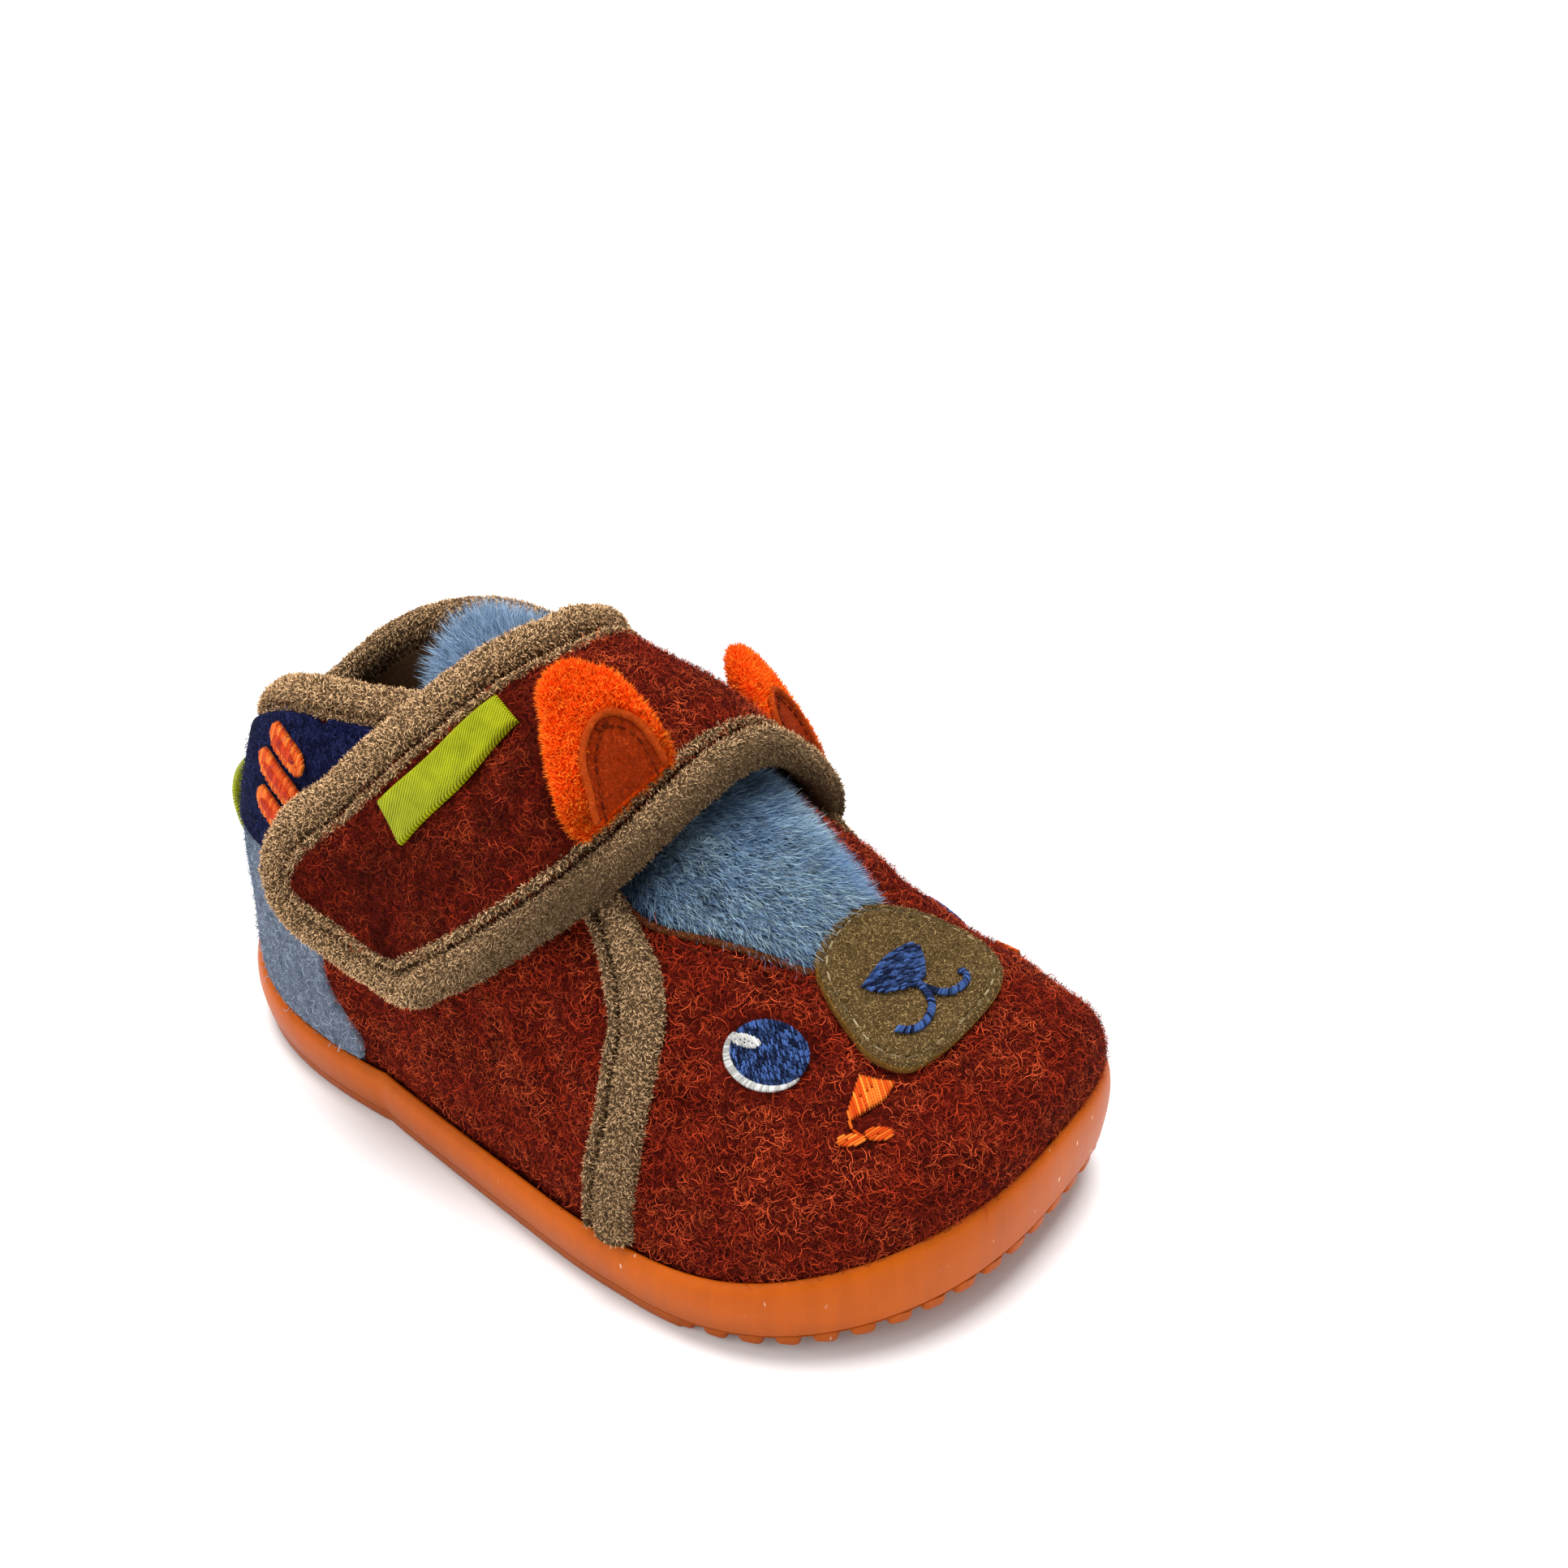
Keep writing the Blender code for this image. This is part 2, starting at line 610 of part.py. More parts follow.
def make_collar_binding():
    """The rolled band on the edge of the collar, from the lateral throat round the heel."""
    drop = COLLAR_BAND / 2 - GAP / 2
    start = heel_hoop(drop)
    t = np.linspace(-1.0, 1.0, 61)
    ends = np.where(t < 0, CORNER_LATERAL, CORNER_MEDIAL)
    u = start + (ends - start) * t * t
    v = np.where(t < 0, -collar_v(u, -1, drop), collar_v(u, 1, drop))
    places = even_steps(skin(u, v), BINDING_STEP)
    rows = np.arange(len(t))
    u = np.interp(places, rows, u)
    v = np.interp(places, rows, v)
    normal = skin_normal(u, v)
    path = skin(u, v) - normal * WALL / 2
    rings = sweep(path, normal, 0.0, (COLLAR_BAND - GAP) / 2, BINDING_HEIGHT / 2)
    mesh = bmesh.new()
    add_loft(mesh, rings)
    make_object("collar_binding", mesh, "binding")


def make_strap_binding():
    """The rolled band round the strap's edge: the top edge, the tip, and back along the front edge."""
    v = np.linspace(BINDING_FROM, STRAP_TIP, 120)
    tip = np.linspace(0.0, 1.0, 8)[1:-1]
    across_tip = STRAP_REAR(v[-1]) + (STRAP_FRONT(v[-1]) - STRAP_REAR(v[-1])) * tip
    u = np.concatenate((STRAP_REAR(v), across_tip, STRAP_FRONT(v[::-1])))
    v = np.concatenate((v, np.full(len(tip), v[-1]), v[::-1]))
    path = skin_out(u, v, strap_standoff(u, v) + STRAP / 2)
    places = even_steps(path, BINDING_STEP)
    rows = np.arange(len(u))
    normal = skin_normal(np.interp(places, rows, u), np.interp(places, rows, v))
    points = np.stack([np.interp(places, rows, path[:, k]) for k in range(3)], -1)
    half = BINDING_WIDTH / 2
    rings = sweep(points, normal, half + BINDING_SHIFT, half, BINDING_HEIGHT / 2)
    mesh = bmesh.new()
    add_loft(mesh, rings)
    make_object("strap_binding", mesh, "binding")


def make_quarter_binding(side):
    """The band down the front edge of a quarter, laid on the vamp."""
    rows = QUARTER_ROWS[side]
    middle = table_curves(rows)[0]
    v = np.linspace(rows[0][0], rows[-1][0], 12)
    u = middle(v)[:, None] + np.linspace(-QUARTER_HALF, QUARTER_HALF, 4)
    if side == "medial":
        u = u[:, ::-1]
    v = v[:, None] + 0 * u
    mesh = bmesh.new()
    add_grid(mesh, skin_out(u, v, 0 * u + GAP))
    thicken(make_object("quarter_binding_" + side, mesh, "binding"), QUARTER_BAND, 1)


def make_muzzle_patch():
    """The egg of felt on the vamp that covers the tip of the throat."""
    turn = np.linspace(0.0, 2 * np.pi, 28, endpoint=False)
    radius = np.linspace(0.0, 1.0, 5)[:, None]
    u = MUZZLE_CENTRE[0] + MUZZLE_HALF[0] * radius * np.cos(turn)
    v = MUZZLE_CENTRE[1] + MUZZLE_HALF[1] * radius * np.sin(turn) * (1 + MUZZLE_EGG * np.cos(turn))
    mesh = bmesh.new()
    add_grid(mesh, skin_out(u, v, 0 * u + GAP), closed=True)
    thicken(make_object("muzzle_patch", mesh, "muzzle_felt"), PATCH, 1)


def make_ear(side):
    """A plush ear that grows from the strap behind its front binding and lies back over the felt."""
    hoop, middle, height, raised = EAR_ROWS[side]
    raised = np.radians(raised)
    normal = skin_normal(hoop, middle)
    back = skin(hoop - 0.1, middle) - skin(hoop + 0.1, middle)
    back /= np.linalg.norm(back)
    inward = np.cross(normal, back) * np.sign(middle)
    reach = back * np.cos(raised) + normal * np.sin(raised)
    face = normal * np.cos(raised) - back * np.sin(raised)
    foot = skin_out(hoop, middle, height)
    turn = np.linspace(0.0, 2 * np.pi, 14, endpoint=False)
    wide = np.sign(np.cos(turn)) * np.abs(np.cos(turn)) ** SQUARENESS
    rings = []
    for along, outer, inner, thickness in EAR_SECTIONS:
        across = (inner + outer) / 2 + (inner - outer) / 2 * wide
        flat = foot + reach * along + inward * across[:, None]
        rings.append(flat + face * (np.sin(turn) * thickness)[:, None])
    mesh = bmesh.new()
    add_loft(mesh, rings)
    make_object("ear_" + side, mesh, "ear_plush")


def make_pull_loop():
    """The woven ribbon behind the heel, sewn on under the collar and over the sole."""
    rows = np.array(LOOP_ROWS)
    knots = np.arange(len(rows))
    fine = np.linspace(0.0, len(rows) - 1, 120)
    x = curve(knots, rows[:, 0])(fine)
    z = curve(knots, rows[:, 1])(fine)
    path = np.column_stack((x, 0 * fine, z))
    places = even_steps(path, RIBBON_STEP)
    points = np.stack([np.interp(places, np.arange(len(fine)), path[:, k]) for k in range(3)], -1)
    tangent = np.gradient(points, axis=0)
    tangent /= np.linalg.norm(tangent, axis=1, keepdims=True)
    thick = np.stack((-tangent[:, 2], 0 * places, tangent[:, 0]), -1) * RIBBON / 2
    wide = np.array((0.0, RIBBON_WIDTH / 2, 0.0))
    mesh = bmesh.new()
    corners = (thick + wide, thick - wide, -thick - wide, -thick + wide)
    add_loft(mesh, np.stack([points + corner for corner in corners], 1))
    make_object("pull_loop", mesh, "ribbon")


def set_origin():
    """Moves the stand so that the origin lies under the middle of the bounding box."""
    graph = bpy.context.evaluated_depsgraph_get()
    corners = []
    for piece in SHOE.objects:
        if piece.type == "MESH" and not piece.hide_render:
            corners += [tuple(corner) for corner in piece.evaluated_get(graph).bound_box]
    middle = (np.min(corners, axis=0) + np.max(corners, axis=0)) / 2
    STAND.location = (-middle[0], -middle[1], 0.0)


clear_scene()
SHOE = bpy.data.collections.new("barefoot_shoe")
bpy.context.scene.collection.children.link(SHOE)
STAND = bpy.data.objects.new("stand", None)
SHOE.objects.link(STAND)

make_outsole()
make_insole()
make_upper()
make_tongue()
make_strap()
make_collar_binding()
make_strap_binding()
for quarter in QUARTER_ROWS:
    make_quarter_binding(quarter)
make_muzzle_patch()
for ear in EAR_ROWS:
    make_ear(ear)
make_pull_loop()
set_origin()
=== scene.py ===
"""Looks of the toddler's barefoot shoe: felt, plush, bindings, embroidery and the rubber sole.

Points on the last are in millimetres, with hoop u and angle v as coordinates, and become metres in
the row frame where a mesh is made. X runs from the heel to the toe, Y to the medial side and Z up.
Side -1 is the lateral one and side 1 the medial one. Colours are linear.
"""

import bmesh
import bpy
import numpy as np
from mathutils import Matrix, Vector, noise


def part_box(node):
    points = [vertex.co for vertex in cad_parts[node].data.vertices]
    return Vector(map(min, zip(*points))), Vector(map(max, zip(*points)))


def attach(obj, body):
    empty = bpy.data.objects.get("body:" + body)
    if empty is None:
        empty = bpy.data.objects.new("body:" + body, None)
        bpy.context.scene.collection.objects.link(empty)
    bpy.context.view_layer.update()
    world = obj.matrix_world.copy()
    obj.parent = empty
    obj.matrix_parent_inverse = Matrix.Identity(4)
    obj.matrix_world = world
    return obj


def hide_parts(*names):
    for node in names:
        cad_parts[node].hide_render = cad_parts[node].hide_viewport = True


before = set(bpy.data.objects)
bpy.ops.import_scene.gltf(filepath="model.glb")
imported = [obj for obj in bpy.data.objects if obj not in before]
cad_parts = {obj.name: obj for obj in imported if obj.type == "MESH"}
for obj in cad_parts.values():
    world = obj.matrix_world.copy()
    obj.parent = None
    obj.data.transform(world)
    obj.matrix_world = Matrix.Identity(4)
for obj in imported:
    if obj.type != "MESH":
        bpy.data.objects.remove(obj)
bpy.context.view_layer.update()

MM = 0.001
WELD = 0.005  # points closer than this are made one
FEATHER_WELD = 0.35  # the same on the feather line, where the toe's hoops meet
SIDES = {-1: "lateral", 1: "medial"}

# Sizes of the last, as in the part
LENGTH = 136.0
BALL_WIDTH = 64.5
INSTEP = 58.0
HEEL_HEIGHT = 47.0
COLLAR_ROWS = (  # x, rise of the collar's top over the back of the heel
    (-6.0, -5.5), (0.0, 0.0), (5.0, 5.1), (9.5, 9.6), (13.5, 13.0), (19.0, 16.4),
    (27.0, 19.5), (35.0, 21.4), (44.0, 22.6), (56.0, 24.7), (75.0, 30.0),
)
FEATHER_Z = 9.0
TOE_SPRING = 6.0
SPRING_FROM = 97.5
LAST_COLUMNS = ("pivot_x", "angle", "crown", "lateral", "medial", "crown_y", "round_lateral", "round_medial")
LAST_ROWS = {
    "heel_feather": (0.320, 180, 0.750, 0.403, 0.395, 0.000, 2.45, 2.40),
    "heel_low": (0.320, 160, 0.802, 0.403, 0.395, 0.000, 2.35, 2.35),
    "heel_mid": (0.320, 140, 0.940, 0.403, 0.395, 0.000, 2.30, 2.30),
    "heel_top": (0.320, 120, 1.095, 0.403, 0.395, 0.000, 2.25, 2.30),
    "ankle": (0.327, 101, 1.259, 0.403, 0.395, 0.000, 2.20, 2.25),
    "throat": (0.415, 91, 1.138, 0.434, 0.391, 0.008, 2.20, 2.20),
    "instep": (0.526, 90, 1.000, 0.468, 0.406, 0.016, 2.20, 2.20),
    "waist": (0.636, 89, 0.836, 0.499, 0.447, 0.028, 2.20, 2.20),
    "ball": (0.717, 82, 0.664, 0.507, 0.493, 0.053, 2.20, 2.20),
    "vamp": (0.724, 62, 0.578, 0.507, 0.496, 0.071, 2.30, 2.40),
    "toe_top": (0.724, 41, 0.609, 0.507, 0.496, 0.091, 2.50, 2.70),
    "toe_front": (0.724, 20, 0.681, 0.507, 0.496, 0.112, 2.60, 2.90),
    "toe_feather": (0.724, 0, 0.641, 0.507, 0.496, 0.130, 2.70, 3.00),
}
LAST_HOOP = len(LAST_ROWS) - 1
FLANK = (3, 9)  # the hoops whose ends make the sides of the feather line

# Upper, tongue, strap, face, ears and loop, after the part
WALL = 2.8
GAP = 0.35
COLLAR_BAND = 5.6
COLLAR_ENDS = (4.66, 4.50)  # hoops where the collar's binding ends on the two sides
THROAT_TIP = 8.75
THROAT_ROWS = (  # hoop, half angle on the lateral and on the medial side
    (4.6, 0.26, 0.27), (5.5, 0.30, 0.30), (6.3, 0.34, 0.30), (7.1, 0.36, 0.25),
    (7.7, 0.26, 0.16), (8.35, 0.18, 0.10), (8.75, 0.14, 0.07),
)
TONGUE_ROWS = (  # the same for the tongue's edges
    (4.50, 0.20, 0.16), (4.65, 0.27, 0.22), (5.0, 0.31, 0.28), (5.5, 0.36, 0.36), (6.3, 0.41, 0.37),
    (7.1, 0.43, 0.33), (7.7, 0.34, 0.23), (8.35, 0.25, 0.17), (8.9, 0.14, 0.11),
)
TONGUE = 2.0
TONGUE_LEAN = 4.0
TONGUE_LEAN_FROM = 5.2
STRAP = 2.6
FLAP = 1.6  # thickness of the strap's felt between its bindings
STRAP_ROWS = (  # v, rear hoop, front hoop; the first two rows join the flap to the quarter
    (0.84, 4.62, 6.98), (0.70, 4.66, 6.86), (0.58, 4.80, 6.72), (0.44, 5.05, 6.78), (0.30, 5.28, 6.72),
    (0.15, 5.40, 6.62), (0.00, 5.42, 6.58), (-0.15, 5.30, 6.57), (-0.31, 5.09, 6.47), (-0.45, 4.79, 6.22),
    (-0.55, 4.55, 5.92), (-0.62, 4.34, 5.66), (-0.68, 3.98, 5.38), (-0.715, 3.70, 5.18),
    (-0.745, 3.98, 4.98), (-0.765, 4.36, 4.83), (-0.772, 4.52, 4.72),
)
STRAP_ROOT, STRAP_TIP = STRAP_ROWS[0][0], STRAP_ROWS[-1][0]
BINDING_FROM = 0.54
STANDOFF = 1.4
PILE_RISE = 3.4
PILE_HALF = 0.38
PILE_RISE_HOOPS = (5.2, 6.3)
SAG = 1.5
SAG_HALF = 0.2
TIP_LIFT = 3.2  # how far the rear corner of the strap's tip stands off the heel
# Painted shade: the flap's lateral side is darkened by this much
FLAP_PAINTED_SHADE = 0.52  # how much darker the felt is on the flap's lateral side
PATCH = 1.6
MUZZLE_CENTRE = (9.02, -0.025)
MUZZLE_HALF = (0.90, 0.225)
MUZZLE_OUTLINE = (  # hoop and v round the patch
    (9.96, -0.03), (9.93, 0.045), (9.78, 0.135), (9.50, 0.200), (9.15, 0.215), (8.85, 0.195),
    (8.47, 0.115), (8.24, 0.025), (8.22, -0.075), (8.37, -0.160), (8.68, -0.200), (9.10, -0.222),
    (9.58, -0.232), (9.84, -0.205), (9.94, -0.125),
)
EAR_STANDS = {  # hoop, v, height of the middle plane, raised and rolled in degrees
    "lateral": (6.45, -0.215, 8.0, 14.0, 0.0),
    "medial": (6.61, 0.453, 6.2, 30.0, 30.0),
}
EAR_OUTLINE = (  # along, outer edge, inner edge, half thickness
    (-2.0, -7.9, 7.7, 1.0), (0.0, -8.4, 9.0, 1.6), (3.0, -7.5, 9.3, 2.1), (5.5, -6.1, 9.6, 2.3),
    (8.0, -4.5, 9.65, 2.4), (11.0, -2.6, 9.5, 2.3), (13.5, -0.8, 8.3, 2.0), (15.2, 0.5, 6.9, 1.6),
    (16.2, 1.9, 5.9, 1.1), (16.6, 3.2, 4.8, 0.6),
)
EAR_HOLLOW = 0.7
EAR_PATCH = (  # along, outer edge, inner edge
    (-1.6, -5.5, 6.4), (0.0, -4.8, 6.8), (2.2, -3.6, 7.1), (4.0, -2.7, 7.2),
    (5.6, -1.7, 6.9), (7.0, -0.2, 6.1), (8.0, 1.4, 5.2), (8.5, 2.8, 3.8),
)
LOOP_ROWS = (  # x and z along the ribbon
    (-0.4, 40.4), (-1.6, 38.6), (-5.4, 36.6), (-9.6, 32.2), (-11.6, 26.8),
    (-10.6, 21.2), (-6.6, 17.8), (-2.2, 16.7), (-1.5, 14.2),
)
RIBBON_WIDTH = 10.0
RIBBON = 1.2

# Sole, after the part, with lugs round the toe and a fine parting line over the tread
FLOOR_Z = 4.5
CUP_ROWS = (  # out from the feather line, height, part of the rim's height
    (-1.4, 0.0, 0.00), (0.2, 0.0, 0.00), (0.85, 0.3, 0.00), (1.15, 1.0, 0.00), (1.32, 2.3, 0.00),
    (1.08, 2.5, 0.00), (1.42, 2.7, 0.00), (1.75, 2.5, 0.15), (2.0, 2.0, 0.35), (2.1, 1.2, 0.55),
    (2.0, 0.5, 0.75), (1.7, 0.1, 0.90), (1.25, 0.0, 0.97), (0.8, 0.0, 1.00), (0.45, 0.0, 0.98),
    (0.3, 0.0, 0.90), (0.6, FLOOR_Z, 0.00),
)
RIM_ROWS = (  # x, height of the cup's rim
    (0.0, 12.5), (8.0, 11.6), (26.0, 9.6), (80.0, 9.7), (108.0, 10.8), (124.0, 12.6), (136.0, 14.0),
)
INSOLE_ROWS = ((0.0, 0.0), (0.0, 1.6), (-0.15, 2.3), (-0.6, 2.8), (-1.4, 3.0), (-4.0, 2.95))  # out, height
ARCH_RISE = 1.4
ARCH_RUN = 8.0
GROOVE_STEP = 6.4
GROOVE_DEPTH = 2.3
GROOVE_HALF = (0.95, 0.45)  # half width of a groove at the ground and at its root
TREAD_HEEL = (6.0, 45.0)
TREAD_FORE = (76.0, 131.0)
SIDE_WALL = 2.8  # rubber that the grooves leave at both sides
TOE_LUGS_FROM = 104.0
TOE_INSET = 3.2  # how far the tread stands back behind the lugs round the toe
LUG_STEP = 4.7
LUG_HALF = (1.85, 2.1, 2.3)  # along the edge, across it and down from the parting line
PARTING_Z = 2.5

# Bands down the front edges of the quarters: v, rear hoop, front hoop
QUARTER_ROWS = {
    -1: ((-0.36, 6.05, 6.85), (-0.40, 6.28, 7.20), (-0.47, 6.74, 7.44), (-0.565, 7.09, 7.56),
         (-0.65, 7.16, 7.61), (-0.735, 7.20, 7.66), (-0.88, 7.16, 7.72), (-0.975, 7.18, 7.76)),
    1: ((0.46, 6.74, 7.22), (0.53, 6.82, 7.34), (0.60, 6.90, 7.41), (0.68, 7.01, 7.53),
        (0.78, 7.09, 7.63), (0.90, 7.14, 7.70), (0.975, 7.15, 7.72)),
}
QUARTER_DIM = 0.28  # how much darker these bands are than the rolls

# Heel panels
LOWER_PANEL_ROWS = (  # angle from the heel's middle line, upper edge over the ground
    (0.0, 36.0), (0.35, 37.0), (0.60, 38.0), (0.72, 37.0),
    (0.78, 31.0), (0.85, 21.0), (0.95, 13.5), (1.0, 9.0),
)
LOWER_PANEL_REACH = 0.955
PANEL_TUCK = 0.4  # how far the upper panel runs on under the collar
UPPER_PANEL_REACH = (0.80, 0.74)  # angles that the upper panel reaches on the two sides
UPPER_PANEL_FRONT = (60.0, 33.0)  # its front edges from the back of the heel
FRONT_PANEL = (-0.53, -0.31)  # angles of the panel that goes on under the strap
FRONT_PANEL_END = 5.25

# Rolled binding: across from the felt's edge and up, from the ridge over the roll and back underneath
ROLL_PROFILE = (
    (-1.05, 0.50), (-0.90, 1.20), (-0.45, 1.70), (0.05, 1.65), (0.40, 0.90), (0.80, -0.20), (1.20, 0.95),
    (1.65, 1.85), (2.50, 2.45), (3.60, 2.45), (4.70, 2.15), (5.70, 1.50), (6.35, 0.60), (6.45, -0.30),
    (6.00, -1.30), (4.80, -2.00), (3.00, -2.20), (1.00, -1.90), (-0.80, -1.40),
)
ROLL_GROOVE = 5  # the row in the groove
ROLL_UNDER = (13.5, 18.5)  # the rows underneath

# Side label: part of its length, hoop and v of the edge at the binding, hoop and v of the front edge
LABEL_ROWS = (
    (0.0, 4.66, -0.533, 4.90, -0.572), (0.5, 5.02, -0.376, 5.355, -0.406), (1.0, 5.26, -0.221, 5.54, -0.236),
)
LABEL_OUTLINE = [row[1:3] for row in LABEL_ROWS] + [row[3:] for row in LABEL_ROWS[::-1]]
LABEL = 0.9
LABEL_SIZE = (25.0, 9.0)

# Face, as hoop and angle on both sides
FACE_SHIFT = {-1: 0.0, 1: 0.19}  # the medial eye and cheek lie further from the middle
EYE_CENTRE = (8.53, 0.40)
EYE_LONG = (0.40, 0.075)  # half axes
EYE_SHORT = (-0.25, 0.0625)
CHEEK = ((9.475, 0.28), (9.65, 0.262), (9.825, 0.24), (9.90, 0.29), (9.825, 0.385), (9.72, 0.372))
CHEEK_TAIL = ((9.80, 0.383), (9.92, 0.396), (10.05, 0.394))
CHEEK_DOTS = (  # corners round each dot
    ((9.90, 0.445), (9.95, 0.405), (10.10, 0.385), (10.075, 0.43)),
    ((10.05, 0.39), (10.075, 0.35), (10.25, 0.335), (10.225, 0.375)),
)
DOT_SIZE = 1.3
CHEEK_FIELDS = (  # bare of fibres: hoop and half its span, angle and half its span
    (9.72, 0.30, 0.31, 0.09), (10.08, 0.24, 0.39, 0.07),
)
NOSE = (
    (8.80, -0.130), (8.77, -0.085), (8.75, -0.040), (8.77, 0.000), (8.82, 0.030), (8.92, 0.036),
    (9.07, 0.016), (9.22, -0.005), (9.25, -0.035), (9.15, -0.065), (9.02, -0.100), (8.90, -0.121),
)
MOUTH_LINES = (
    ((9.25, -0.030), (9.37, -0.025), (9.50, -0.015), (9.59, 0.002),
     (9.60, 0.025), (9.55, 0.040), (9.47, 0.042)),
    ((9.25, -0.030), (9.40, -0.036), (9.53, -0.053), (9.60, -0.085),
     (9.60, -0.115), (9.54, -0.137), (9.45, -0.150)),
)
MOUTH_WIDTH = 1.2
STRIPE_PLACE = (3.25, 0.54)  # hoop and angle of the middle stripe on both sides of the heel
STRIPES = ((-5.6, 10.0), (0.0, 13.5), (5.6, 10.0))  # shift and length of each stripe
STRIPE_WIDTH = 4.6
STRIPE_TILT = 64

CREASES = (  # two ends as hoop and v, depth and half width in millimetres
    (5.2, -0.86, 6.3, -0.70, 0.9, 3.2), (6.35, -0.62, 6.75, -0.86, 0.7, 2.6),
    (7.85, -0.62, 8.6, -0.80, 0.8, 3.2), (7.80, -0.45, 8.15, -0.62, 0.7, 2.4),
    (8.9, -0.62, 9.9, -0.58, 0.5, 4.0), (7.85, 0.45, 8.6, 0.70, 0.8, 3.2),
    (4.6, 0.86, 5.9, 0.78, 0.8, 3.6), (6.0, 0.60, 6.6, 0.90, 0.7, 3.0), (10.3, 0.30, 11.0, 0.55, 0.5, 4.0),
)

# Stage. The camera stands as the photograph was taken
CAMERA_EYE = (0.1534, -0.1626, 0.1916)
CAMERA_TURNS = (("Z", 36.4), ("X", 90.0 - 31.9), ("Z", -1.0))  # azimuth, elevation and roll in degrees
CAMERA_LENS = 43.03
LAMPS = {  # direction that the light comes from, strength, softness in degrees
    "key": ((-0.08, 0.18, 1.0), 4.4, 40.0),
    "front": ((-0.40, -0.9, 0.60), 1.4, 55.0),
    "side": ((1.0, -0.25, 0.45), 0.2, 50.0),
}
SKY = 0.5
FLOOR_REACH = 3.0


# The last

def curve(knots, values, monotone=False):
    """A smooth function through the knots. A monotone one doesn't overshoot."""
    knots = np.asarray(knots, float)
    values = np.asarray(values, float)
    slopes = np.gradient(values, knots)
    if monotone:
        steps = np.diff(values) / np.diff(knots)
        before, after = steps[:-1], steps[1:]
        agree = before * after > 0
        total = np.where(agree, before + after, 1.0)
        slopes[1:-1] = np.where(agree, 2 * before * after / total, 0.0)

    def at(x):
        x = np.clip(x, knots[0], knots[-1])
        i = np.clip(np.searchsorted(knots, x, side="right") - 1, 0, len(knots) - 2)
        width = knots[i + 1] - knots[i]
        t = (x - knots[i]) / width
        ends = values[i] * (1 + 2 * t) * (1 - t) ** 2 + values[i + 1] * t * t * (3 - 2 * t)
        return ends + width * (slopes[i] * t * (1 - t) ** 2 - slopes[i + 1] * t * t * (1 - t))

    return at


def table_curves(rows, monotone=False):
    """One curve for each column after the first, which holds the knots."""
    knots, *columns = np.array(sorted(rows), float).T
    return [curve(knots, column, monotone) for column in columns]


def columns_at(rows, places, monotone=False):
    """A table's columns at fractional row numbers, on smooth curves."""
    numbers = range(len(rows))
    return np.stack([curve(numbers, column, monotone)(places) for column in np.transpose(rows)], -1)


def last_curves():
    """The columns of the last's table as functions of the hoop, in millimetres and degrees."""
    sizes = dict.fromkeys(("lateral", "medial", "crown_y"), BALL_WIDTH)
    sizes.update(pivot_x=LENGTH, crown=INSTEP)
    found = {}
    for name, column in zip(LAST_COLUMNS, np.transpose(list(LAST_ROWS.values()))):
        values = column * sizes.get(name, 1.0)
        found[name] = curve(range(len(column)), values, monotone=name in ("pivot_x", "angle"))
    return found


SECTION = last_curves()
THROAT = dict(zip(SIDES, table_curves(THROAT_ROWS)))
TONGUE_EDGES = table_curves(TONGUE_ROWS)
STRAP_REAR, STRAP_FRONT = table_curves(STRAP_ROWS)
COLLAR = table_curves(COLLAR_ROWS, monotone=True)[0]
RIM = table_curves(RIM_ROWS, monotone=True)[0]
LOWER_PANEL_TOP = table_curves(LOWER_PANEL_ROWS, monotone=True)[0]
EAR_EDGES = table_curves(EAR_OUTLINE, monotone=True)
PATCH_EDGES = table_curves(EAR_PATCH, monotone=True)


def smooth_step(t):
    t = np.clip(t, 0.0, 1.0)
    return t * t * (3 - 2 * t)


def unit(vectors):
    return vectors / np.maximum(np.linalg.norm(vectors, axis=-1, keepdims=True), 1e-9)


def circle(count):
    return np.linspace(0.0, 2 * np.pi, count, endpoint=False)


def bulged(values, power):
    """A power that keeps the sign: below 1 it squares a circle's sine and cosine."""
    return np.sign(values) * np.abs(values) ** power


def lift(x):
    """Toe spring at x."""
    return TOE_SPRING * (np.maximum(x - SPRING_FROM, 0.0) / (LENGTH - SPRING_FROM)) ** 2


def skin(u, v):
    """Point of the last on hoop u, from v = -1 on the lateral feather line over the crown to +1."""
    u, v = np.broadcast_arrays(np.asarray(u, float), np.asarray(v, float))
    at = {name: column(u) for name, column in SECTION.items()}
    power = 2 / np.where(v < 0, at["round_lateral"], at["round_medial"])
    over = np.where(np.abs(v) >= 1, 0.0, np.maximum(np.cos(v * np.pi / 2), 0.0))
    radius = at["crown"] * over**power
    angle = np.radians(at["angle"])
    x = at["pivot_x"] + radius * np.cos(angle)
    width = np.where(v < 0, at["lateral"], at["medial"])
    y = width * bulged(np.sin(v * np.pi / 2), power) + at["crown_y"] * over**1.5
    return np.stack((x, y, FEATHER_Z + radius * np.sin(angle) + lift(x)), -1)


def skin_normal(u, v):
    """Outward normal of the last."""
    step = 2e-3
    u = np.clip(u, step, LAST_HOOP - step)
    v = np.clip(v, -0.985, 0.985)
    return unit(np.cross(skin(u + step, v) - skin(u - step, v), skin(u, v + step) - skin(u, v - step)))


def skin_out(u, v, out):
    """A point of the last moved out along its normal."""
    u, v, out = np.broadcast_arrays(np.asarray(u, float), np.asarray(v, float), np.asarray(out, float))
    return skin(u, v) + skin_normal(u, v) * out[..., None]


def halved(low, high, below, steps):
    """Narrows a bracket round the place up to which below is true."""
    for _ in range(steps):
        middle = (low + high) / 2
        under = below(middle)
        low, high = np.where(under, middle, low), np.where(under, high, middle)
    return low, high


